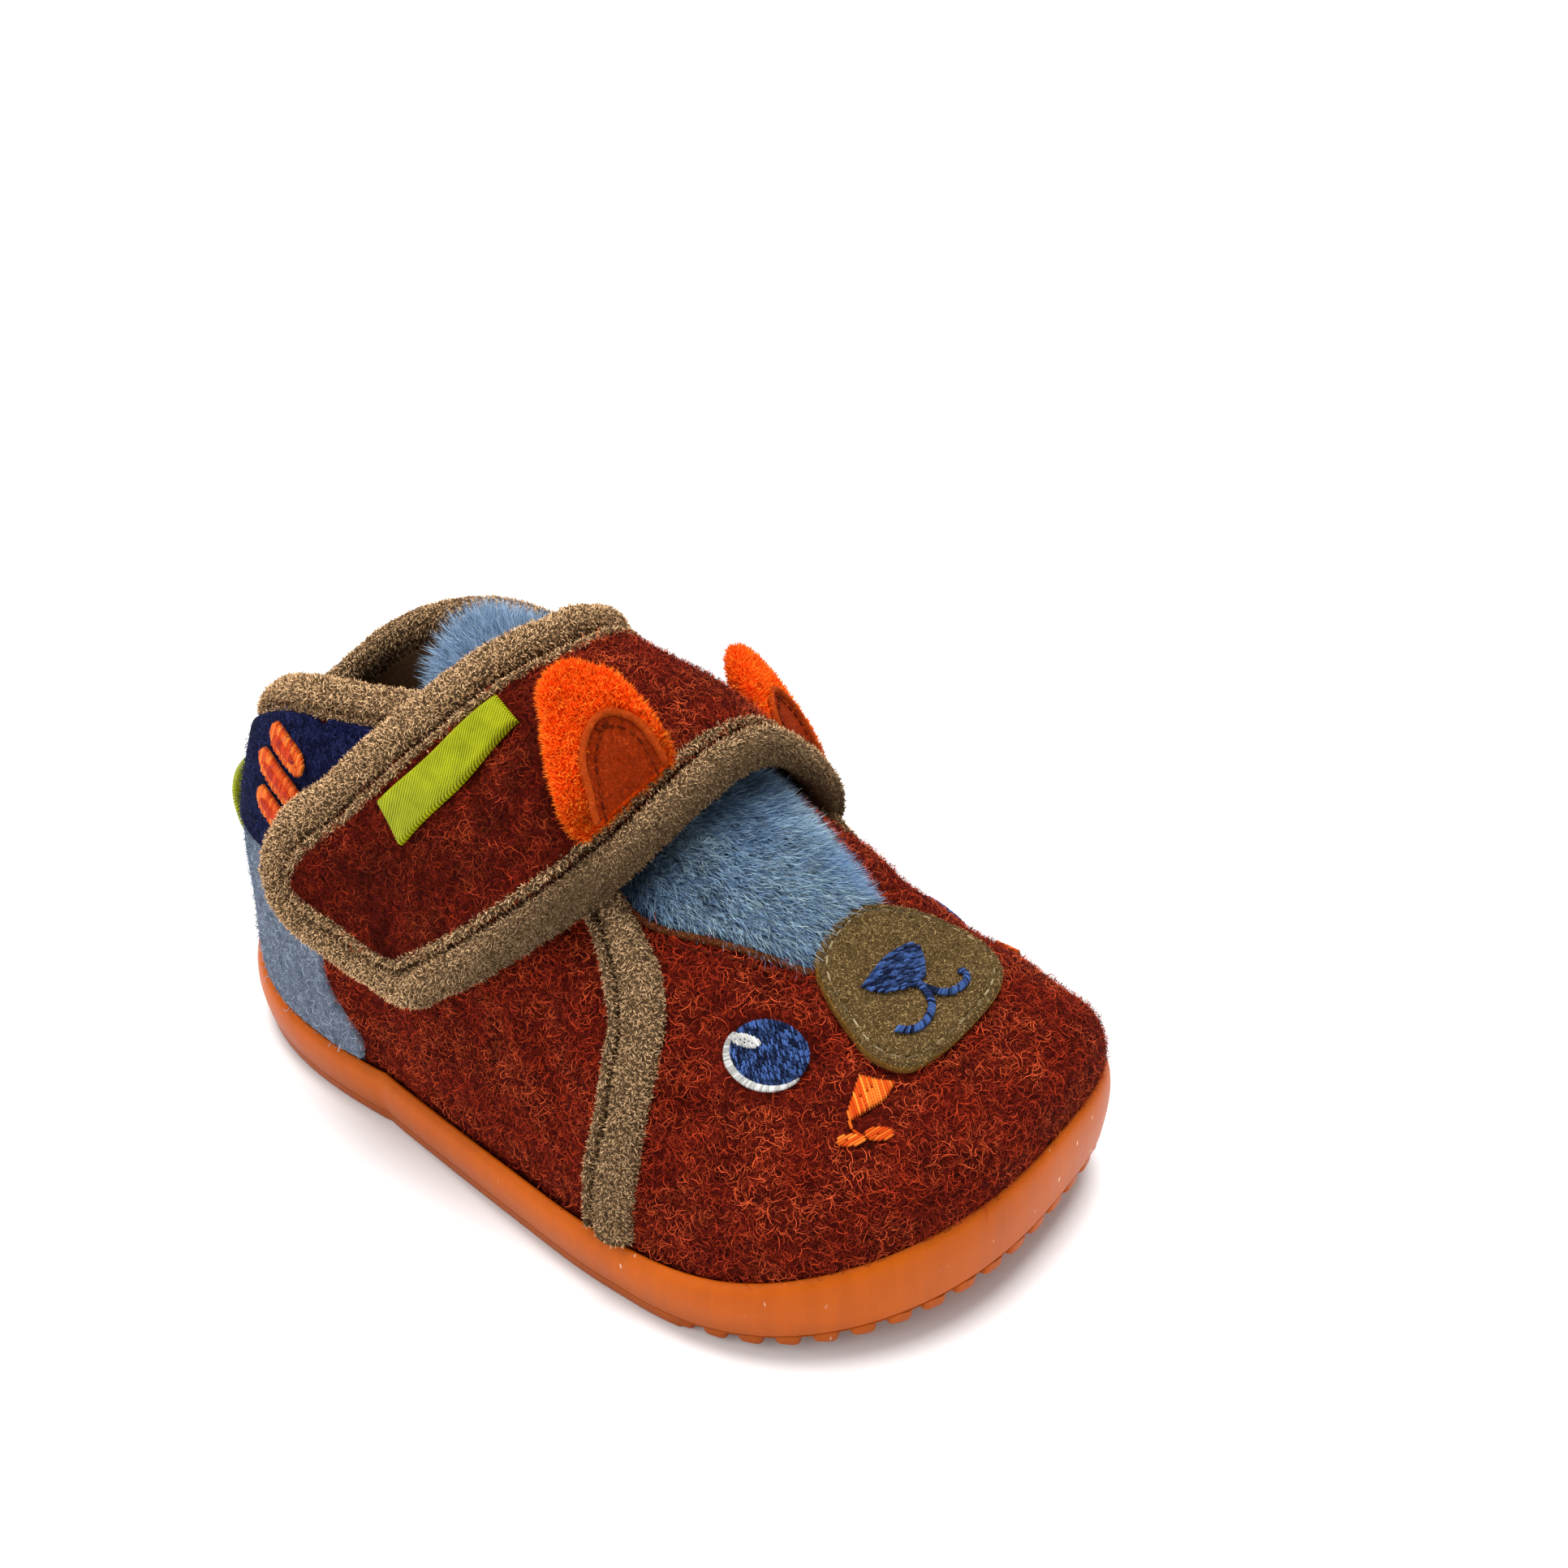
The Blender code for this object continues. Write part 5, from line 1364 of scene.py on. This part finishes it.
def make_muzzle():
    """The felt patch with its cut edge and its row of stitches."""
    turn = np.linspace(-np.pi, np.pi, 140, endpoint=False)
    fields = ((0.0, 0.8, 26), (0.81, 0.9, 9), (0.91, 0.985, 8))
    radius = np.concatenate([np.linspace(*field) for field in fields])
    u, v = muzzle_places(radius[:, None], turn)
    points = skin_out(u, v, muzzle_top(u, v) + wobble(skin(u, v), 6.0, 0.15))
    data = grid_mesh("muzzle_patch_felt", [points], wrap=True)
    add_piece("muzzle_patch_felt", data, "muzzle_felt", "muzzle_patch")
    base = grid_mesh("muzzle_fibres", [points], wrap=True, pile=np.ones(u.shape))
    coat(base, "muzzle_strands", FLECKS, 3)
    u, v = muzzle_places(np.array((0.985, 0.992, 0.997, 1.0, 1.0))[:, None], turn)
    out = muzzle_top(u, v)
    out[-1] = -0.4
    data = grid_mesh("muzzle_cut_edge", [skin_out(u, v, out)], wrap=True)
    add_piece("muzzle_cut_edge", data, "muzzle_edge")
    u, v = muzzle_places(0.89, np.append(turn, turn[0]))
    rows = seam(skin_out(u, v, muzzle_top(u, v)), skin_normal(u, v), 2.3, 1.6)
    stitches("muzzle_seam", rows, "olive_thread", 0.36, 0.25)


class Plane:
    """A flat map of the surface round a point, in millimetres along the hoops and across them."""

    def __init__(self, u, v):
        step = 0.01
        self.centre = np.array((u, v))
        self.origin = skin(u, v)
        along = (skin(u + step, v) - skin(u - step, v)) / (2 * step)
        across = (skin(u, v + step) - skin(u, v - step)) / (2 * step)
        first = unit(along)
        self.axes = np.stack((first, np.cross(skin_normal(u, v), first)))
        self.back = np.linalg.inv(self.axes @ np.stack((along, across), -1))

    def flat(self, places):
        places = np.asarray(places, float)
        return (skin(places[..., 0], places[..., 1]) - self.origin) @ self.axes.T

    def sewn(self, lines, height):
        """Stitches from the plane onto the surface. Height is a number or a function of hoop and v."""
        flat = np.array(lines)
        found = flat @ self.back.T + self.centre
        for _ in range(6):
            found = found + (flat - self.flat(found)) @ self.back.T
        u, v = found[..., 0], found[..., 1]
        points = skin_out(u, v, height(u, v) if callable(height) else height)
        return list(zip(points[:, 0], points[:, 1], skin_normal(u[:, 0], v[:, 0])))

    def satin(self, corners, angle, spacing, longest, height):
        """Stitches that fill an outline on the plane."""
        return self.sewn(fill_lines(corners, angle, spacing, longest), height)


def inside_outline(points, corners):
    """Whether points lie in a closed outline on a plane."""
    x, y = points[:, 0], points[:, 1]
    found = np.zeros(len(points), bool)
    for (x0, y0), (x1, y1) in zip(corners, np.roll(corners, -1, axis=0)):
        rise = y1 - y0 if y1 != y0 else 1e-9
        found ^= ((y0 > y) != (y1 > y)) & (x < (x1 - x0) * (y - y0) / rise + x0)
    return found


def slope(way):
    """Direction of a way on a plane, in degrees."""
    return np.degrees(np.arctan2(way[1], way[0]))


def turned_axes(angle):
    """The ways along and across a direction on a plane, in degrees."""
    turn = np.radians(angle)
    axis = np.array((np.cos(turn), np.sin(turn)))
    return axis, np.array((-axis[1], axis[0]))


def fill_lines(corners, angle, spacing, longest):
    """Lines that fill an outline on a plane with parallel rows, staggered from row to row."""
    axis, side = turned_axes(angle)
    reach, offsets = corners @ axis, corners @ side
    t = np.arange(reach.min() - 0.1, reach.max() + 0.1, 0.06)
    lines = []
    for row, offset in enumerate(np.arange(offsets.min() + spacing / 2, offsets.max(), spacing)):
        inside = inside_outline(axis * t[:, None] + side * offset, corners)
        edges = np.flatnonzero(np.diff(inside.astype(int)))
        for first, last in zip(edges[::2], edges[1::2]):
            cuts = [t[first]]
            place = t[first] + longest * (0.35 + 0.65 * ((row * 0.37) % 1.0))
            while place < t[last] - 0.5 * longest:
                cuts.append(place)
                place += longest
            cuts.append(t[last])
            for a, b in zip(cuts, cuts[1:]):
                if b - a > 0.25:
                    lines.append((axis * a + side * offset, axis * (b + 0.12) + side * offset))
    return lines


def make_eye(side):
    """A satin-stitched eye: blue, with a pale crescent and a highlight."""
    mirror = np.array((1.0, side))
    plane = Plane(EYE_CENTRE[0], side * EYE_CENTRE[1] + FACE_SHIFT[side])
    long_way, short_way = (
        plane.flat(plane.centre + np.array(axis) * mirror * (1.0, -1.0)) for axis in (EYE_LONG, EYE_SHORT)
    )

    def spot(p, q):
        return np.outer(p, long_way) + np.outer(q, short_way)

    def ball(turn):
        return spot(0.13 + 0.84 * np.cos(turn), 0.08 + 0.86 * np.sin(turn))

    turn = circle(64)
    slant = slope(short_way)
    rows = plane.satin(ball(turn), slant + 12, 0.22, 0.95, 0.55)
    stitches("eye_" + SIDES[side], rows, "blue_thread", 0.29, 0.34, 1)
    glint = spot(-0.36 + 0.30 * np.cos(turn) - 0.12 * np.sin(turn), 0.36 + 0.20 * np.sin(turn))
    rows = plane.satin(glint, slant + 30, 0.26, 1.6, 0.72)
    stitches("eye_glint_" + SIDES[side], rows, "white_thread", 0.40, 0.36, 3)
    turn = np.radians(np.arange(148.0, 316.0, 3.0))
    fade = np.sin(np.linspace(0.0, np.pi, len(turn))) ** 0.6
    inner = ball(turn)
    outer = spot(0.08 + 0.95 * np.cos(turn), 0.04 + 0.99 * np.sin(turn))
    outer = inner + (outer - inner) * (0.4 + 0.6 * fade)[:, None]
    rows = plane.sewn(list(zip(inner - (outer - inner) * 0.3, outer)), 0.62)
    stitches("eye_white_" + SIDES[side], rows, "white_thread", 0.42, 0.36, 4)


def make_cheek(side):
    """A small satin triangle beside the muzzle, two dots under it and the thread between them."""

    def placed(places):
        return np.array(places) * (1.0, side) + (0.0, FACE_SHIFT[side])

    corners = placed(CHEEK)
    plane = Plane(*corners.mean(axis=0))
    flat = plane.flat(corners)
    rows = plane.satin(flat, slope(flat[2] - flat[0]) + 62 * side, 0.34, 4.0, 0.35)
    turn = circle(40)
    for dot in CHEEK_DOTS:
        a, b, c, d = plane.flat(placed(dot))
        long_way, short_way = (c + d - a - b) / 4, (b + c - a - d) / 4
        ring = DOT_SIZE * (np.outer(np.cos(turn), long_way) + np.outer(np.sin(turn), short_way))
        rows += plane.satin((a + b + c + d) / 4 + ring, slope(short_way), 0.32, 3.0, 0.35)
    u, v = placed(CHEEK_TAIL).T
    path = skin_out(u, v, 0.35)
    rows += list(zip(path[:-1], path[1:], skin_normal(u[:-1], v[:-1])))
    stitches("cheek_" + SIDES[side], rows, "orange_thread", 0.44, 0.40, 5)


def make_nose():
    """Nose and mouth in satin stitch on the muzzle patch."""
    plane = Plane(9.0, -0.01)

    def height(u, v):
        return muzzle_top(u, v) + 0.42

    rows = plane.satin(plane.flat(NOSE), 62, 0.22, 1.0, height)
    for line in MOUTH_LINES:
        flat = plane.flat(columns_at(line, np.linspace(0.0, len(line) - 1, 60)))
        middles = pick(flat, even_steps(flat, 0.24))
        way = unit(np.gradient(middles, axis=0))
        slant = unit(np.stack((-way[:, 1], way[:, 0]), -1) + 0.5 * way) * MOUTH_WIDTH / 2
        rows += plane.sewn(list(zip(middles - slant, middles + slant)), height)
    stitches("nose_and_mouth", rows, "blue_thread", 0.30, 0.36, 6)


def make_heel_stripes(side):
    """Three plain satin stripes on the upper heel panel, each with a red core."""
    plane = Plane(STRIPE_PLACE[0], side * STRIPE_PLACE[1])
    axis, cross = turned_axes(STRIPE_TILT * side)
    orange, red = [], []
    turn = circle(60)
    across = np.sin(turn) * STRIPE_WIDTH / 2
    for shift, length in STRIPES:
        along = bulged(np.cos(turn), 0.35) * length / 2
        for rows, long_part, wide_part, height in ((orange, 1.0, 1.0, 1.6), (red, 0.6, 0.4, 1.8)):
            ring = axis * (long_part * along)[:, None] + cross * (wide_part * across + shift)[:, None]
            rows += plane.satin(ring, STRIPE_TILT * side + 90, 0.38, 4.0, height)
    stitches("heel_stripes_" + SIDES[side], orange, "orange_thread", 0.48, 0.4, 11)
    stitches("heel_stripe_cores_" + SIDES[side], red, "red_thread", 0.46, 0.4, 12)


# Ears

def ear_frame(side):
    """Foot of an ear, the ways across it to the middle of the shoe and along it, and its face."""
    hoop, v, height, raised, rolled = EAR_STANDS[side]
    raised, rolled = np.radians(raised), np.radians(rolled)
    normal = skin_normal(hoop, v)
    back = unit(skin(hoop - 0.1, v) - skin(hoop + 0.1, v))
    over = skin(hoop, v + 0.03) - skin(hoop, v - 0.03)
    over = unit(over - normal * (over @ normal) - back * (over @ back))
    level = over if v < 0 else -over
    reach = back * np.cos(raised) + normal * np.sin(raised)
    front = normal * np.cos(raised) - back * np.sin(raised)
    inward = level * np.cos(rolled) - front * np.sin(rolled)
    return skin_out(hoop, v, height), inward, reach, front * np.cos(rolled) + level * np.sin(rolled)


def make_ear(side):
    """A stuffed plush ear with a suede patch in a rolled rim."""
    foot, inward, reach, face = ear_frame(side)

    def place(along, across, out):
        return foot + inward * across[..., None] + reach * along[..., None] + face * out[..., None]

    def on_face(along, across, out):
        """A place over the ear's front, which is hollowed a little along its middle."""
        outer, inner, thick = (edge(along) for edge in EAR_EDGES)
        part = np.clip((across - (outer + inner) / 2) / ((inner - outer) / 2), -1.0, 1.0)
        top = thick * np.sqrt(1 - np.abs(part) ** 2.5) - EAR_HOLLOW * (1 - part**2)
        return place(along, across, top + out)

    tip = (16.0, 16.3, 16.5, EAR_OUTLINE[-1][0])
    along = np.concatenate((np.linspace(EAR_OUTLINE[0][0], 15.6, 34), tip))[:, None]
    turn = circle(60)[None]
    outer, inner, thick = (edge(along) for edge in EAR_EDGES)
    part = bulged(np.cos(turn), 0.8)
    across = (outer + inner) / 2 + (inner - outer) / 2 * part
    out = thick * np.sin(turn) - EAR_HOLLOW * (1 - part**2) * (np.sin(turn) > 0)
    rings = place(along + 0 * turn, across, out)
    rings += unit(rings - rings.mean(axis=1, keepdims=True)) * wobble(rings, 4.0, 0.35, 5.0)[..., None]
    name = "ear_plush_" + side
    ear = add_piece(name, tube_mesh(name, rings), "ear_ground", "ear_" + side)
    low, high = (edge(along) for edge in PATCH_EDGES)
    bare = (np.sin(turn) > 0) & (along < EAR_PATCH[-1][0]) & (across > low) & (across < high)
    # Painted shade: darker between the tufts, and a painted shadow over the ear's foot next to the strap
    # roll
    dim = np.clip(wobble(rings, 1.2, 0.28, 3.0), 0.0, 0.30) + 0.42 * (1 - smooth_step((along + 1.0) / 7.0))
    base = tube_mesh(name + "_pile", rings, pile=~bare, nap=np.broadcast_to(reach, rings.shape), dim=dim)
    coat(base, "ear_strands", EAR_FUR, 9)

    along = np.concatenate((np.linspace(EAR_PATCH[0][0], 8.0, 24), (8.2, 8.35, EAR_PATCH[-1][0])))
    low, high = (edge(along) for edge in PATCH_EDGES)
    across = low[:, None] + (high - low)[:, None] * np.linspace(0.0, 1.0, 28)
    points = on_face(along[:, None] + 0 * across, across, 0.45)
    name = "ear_patch_" + side
    add_piece(name, grid_mesh(name, [points[:, ::-1] if side == "lateral" else points]), "ear_suede")
    there_and_back = np.concatenate((along, along[::-1]))
    path = on_face(there_and_back, np.concatenate((low, high[::-1])), 0.5)
    path = pick(path, even_steps(path, 0.5))
    name = "ear_rim_" + side
    add_piece(name, tube_mesh(name, piping(path, np.broadcast_to(face, path.shape), 0.52)), "ear_piping")
    inset = there_and_back - 0.15 * np.clip(there_and_back, 0.0, 9.0)
    path = on_face(inset, np.concatenate((low + 1.5, high[::-1] - 1.5)), 0.55)
    rows = seam(path, np.broadcast_to(face, path.shape), 1.5, 1.1)
    stitches("ear_seam_" + side, rows, "suede_thread", 0.3, 0.2, 7)


# Label and loop

def make_label():
    """A bare woven label sewn in under the strap's rear binding."""
    along = edge_share(40, 0.03)[:, None]
    across = edge_share(16, 0.08)[None]
    rear_u, rear_v, front_u, front_v = (edge(along) for edge in table_curves(LABEL_ROWS))
    u = rear_u * (1 - across) + front_u * across
    v = rear_v * (1 - across) + front_v * across
    top = strap_top(u, v)
    rise = panel_out(skin_out(u, v, top), LABEL, 0.7) + 0.45 * np.sin(along * np.pi) * across
    points = skin_out(u, v, top + rise + 0.5)
    run = np.stack((along * LABEL_SIZE[0] + 0 * u, across * LABEL_SIZE[1] + 0 * u, 0 * u), -1)
    data = grid_mesh("side_label", [points[::-1]], run=run[::-1])
    add_piece("side_label", data, "lime_ribbon")


def make_pull_loop():
    """The woven ribbon behind the heel, folded over at both ends."""
    path = columns_at(LOOP_ROWS, np.linspace(0.0, len(LOOP_ROWS) - 1, 240))
    path = np.insert(path, 1, 0.0, axis=1)
    points = pick(path, even_steps(path, 0.6))
    tangent = unit(np.gradient(points, axis=0))
    thick = np.stack((-tangent[:, 2], 0 * tangent[:, 1], tangent[:, 0]), -1)
    turn = circle(44)
    wide = bulged(np.cos(turn), 0.35) * RIBBON_WIDTH / 2
    high = bulged(np.sin(turn), 0.6) * RIBBON / 2
    selvedge = 1 + 0.25 * (np.abs(wide) > 0.8 * RIBBON_WIDTH / 2)
    rings = points[:, None] + np.array((0.0, 1.0, 0.0)) * wide[:, None]
    rings = rings + thick[:, None] * (high * selvedge)[:, None]
    flat = 0 * rings[..., 0]
    run = np.stack((path_run(points)[:, None] + flat, wide + flat, flat), -1)
    add_piece("pull_ribbon", tube_mesh("pull_ribbon", rings, run=run), "lime_ribbon", "pull_loop")


# Sole

def cup_rings(half_steps):
    """Rings of the cup from the tread over its side and rim to the floor inside."""
    last = len(CUP_ROWS) - 1
    toe = smooth_step((outline(0.0, half_steps)[:, :1] - TOE_LUGS_FROM) / 4.0)
    rings = []
    for out, height, share in columns_at(CUP_ROWS, np.linspace(0.0, last, last * 3 + 1), monotone=True):
        inset = TOE_INSET * toe * (height < 2.0) * (share == 0.0)
        plan = outline(out - inset, half_steps)
        x = plan[:, 0]
        waist = smooth_step((1.2 - height) / 1.2) * (share == 0.0) * (out < 0.6)
        arch = ARCH_RISE * smooth_step(np.minimum(x - TREAD_HEEL[1], TREAD_FORE[0] - x) / ARCH_RUN)
        rings.append(np.column_stack((plan, height + share * RIM(x) + waist * arch + lift(x))))
    return rings


def plate_mesh(name, rings):
    """A solid through rings of the outline, closed below and above by strips from side to side."""
    count = len(rings[0])
    half = count // 2
    faces = grid_faces(len(rings), count, wrap=True).tolist()
    for first in (0, (len(rings) - 1) * count):
        faces.append([first, first + 1, first + count - 1])
        for i in range(1, half - 1):
            faces.append([first + i, first + i + 1, first + count - i - 1, first + count - i])
        faces.append([first + half - 1, first + half, first + half + 1])
    return build_mesh(name, np.concatenate(rings), faces, True)


def groove_mesh():
    """Wedge-shaped bars across the sole that leave the lugs between them."""
    wide, narrow = GROOVE_HALF
    deep = GROOVE_DEPTH
    profile = (
        (-2 * wide, -deep), (2 * wide, -deep), (wide, 0.0), (narrow, deep), (-narrow, deep), (-wide, 0.0),
    )
    plan = outline(-SIDE_WALL)
    points = []
    faces = []
    for x in np.concatenate([np.arange(*tread, GROOVE_STEP) for tread in (TREAD_HEEL, TREAD_FORE)]):
        across = plan[np.abs(plan[:, 0] - x) < 2 * wide, 1]
        faces += [[len(points) + corner for corner in face] for face in tube_faces(2, len(profile))]
        for y in (across.min(), across.max()):
            points += [(x + dx, y, lift(x) + dz) for dx, dz in profile]
    return build_mesh("grooves", points, faces, True)


def make_outsole():
    """The rubber cup with its lugs, cut once and kept as a plain mesh."""
    body = in_scene("outsole_body", plate_mesh("outsole_body", cup_rings(110)))
    bars = in_scene("outsole_bars", groove_mesh())
    cut = body.modifiers.new("grooves", "BOOLEAN")
    cut.operation = "DIFFERENCE"
    cut.solver = "EXACT"
    cut.object = bars
    data = evaluated([body, bars], "outsole_rubber")
    data.shade_smooth()
    data.set_sharp_from_angle(angle=np.radians(38))
    add_piece("outsole_rubber", data, "gum_rubber", "outsole")


def make_toe_lugs():
    """Rounded lugs under the parting line, side by side round the toe."""
    plan = outline(-1.0, 400)
    plan = plan[plan[:, 0] > TOE_LUGS_FROM]
    middles = pick(plan, even_steps(plan, LUG_STEP))
    along, across, down = LUG_HALF
    turn = circle(24)
    fall = np.linspace(0.0, np.pi / 2, 8)[:, None]
    spread = np.cos(fall) ** 0.4
    one, two = along * spread * bulged(np.cos(turn), 0.45), across * spread * bulged(np.sin(turn), 0.45)
    lugs = []
    for (x, y), (way_x, way_y) in zip(middles, unit(np.gradient(middles, axis=0))):
        z = lift(x) + PARTING_Z - down * np.sin(fall) ** 0.7 + 0 * one
        lugs.append(np.stack((x + way_x * one + way_y * two, y + way_y * one - way_x * two, z), -1))
    add_piece("toe_lugs", grid_mesh("toe_lugs", lugs, wrap=True, outward=True), "gum_rubber")


def make_insole():
    """The loose footbed, with a rounded edge."""
    rings = []
    for out, height in INSOLE_ROWS:
        plan = outline(out - WALL - 2 * GAP, 90)
        rings.append(np.column_stack((plan, FLOOR_Z + GAP + height + lift(plan[:, 0]))))
    add_piece("insole_footbed", plate_mesh("insole_footbed", rings), "lining", "insole")


# Stage

def make_stage():
    """A pale floor, soft lamps and the camera."""
    floor = bpy.data.meshes.new("floor")
    corners = [(FLOOR_REACH * x, FLOOR_REACH * y, 0) for x, y in ((-1, -1), (1, -1), (1, 1), (-1, 1))]
    floor.from_pydata(corners, [], [(0, 1, 2, 3)])
    floor.materials.append(LOOKS["pale_floor"])
    in_scene("floor", floor)
    world = bpy.data.worlds.new("studio")
    world.use_nodes = True
    sky = world.node_tree.nodes["Background"].inputs
    sky["Color"].default_value = (1.0, 1.0, 1.0, 1.0)
    sky["Strength"].default_value = SKY
    for name, (direction, strength, softness) in LAMPS.items():
        lamp = bpy.data.lights.new(name, "SUN")
        lamp.energy = strength
        lamp.angle = np.radians(softness)
        in_scene(name, lamp).rotation_euler = Vector(direction).to_track_quat("Z", "Y").to_euler()
    lens = bpy.data.cameras.new("camera")
    lens.lens = CAMERA_LENS
    lens.sensor_width = 36.0
    lens.clip_start = 0.01
    pose = Matrix.Translation(CAMERA_EYE)
    for axis, degrees in CAMERA_TURNS:
        pose = pose @ Matrix.Rotation(np.radians(degrees), 4, axis)
    eye = in_scene("camera", lens)
    eye.matrix_world = pose
    scene = bpy.context.scene
    scene.world = world
    scene.camera = eye
    scene.view_settings.view_transform = "Standard"


make_upper()
make_heel_panels()
make_strap()
make_collar_roll()
make_strap_roll()
for shoe_side in SIDES:
    make_quarter_band(shoe_side)
make_tongue()
make_throat_edges()
make_muzzle()
for shoe_side in SIDES:
    make_eye(shoe_side)
    make_cheek(shoe_side)
    make_heel_stripes(shoe_side)
make_nose()
for ear_side in EAR_STANDS:
    make_ear(ear_side)
make_label()
make_pull_loop()
make_outsole()
make_toe_lugs()
make_insole()
make_stage()

bpy.context.view_layer.update()
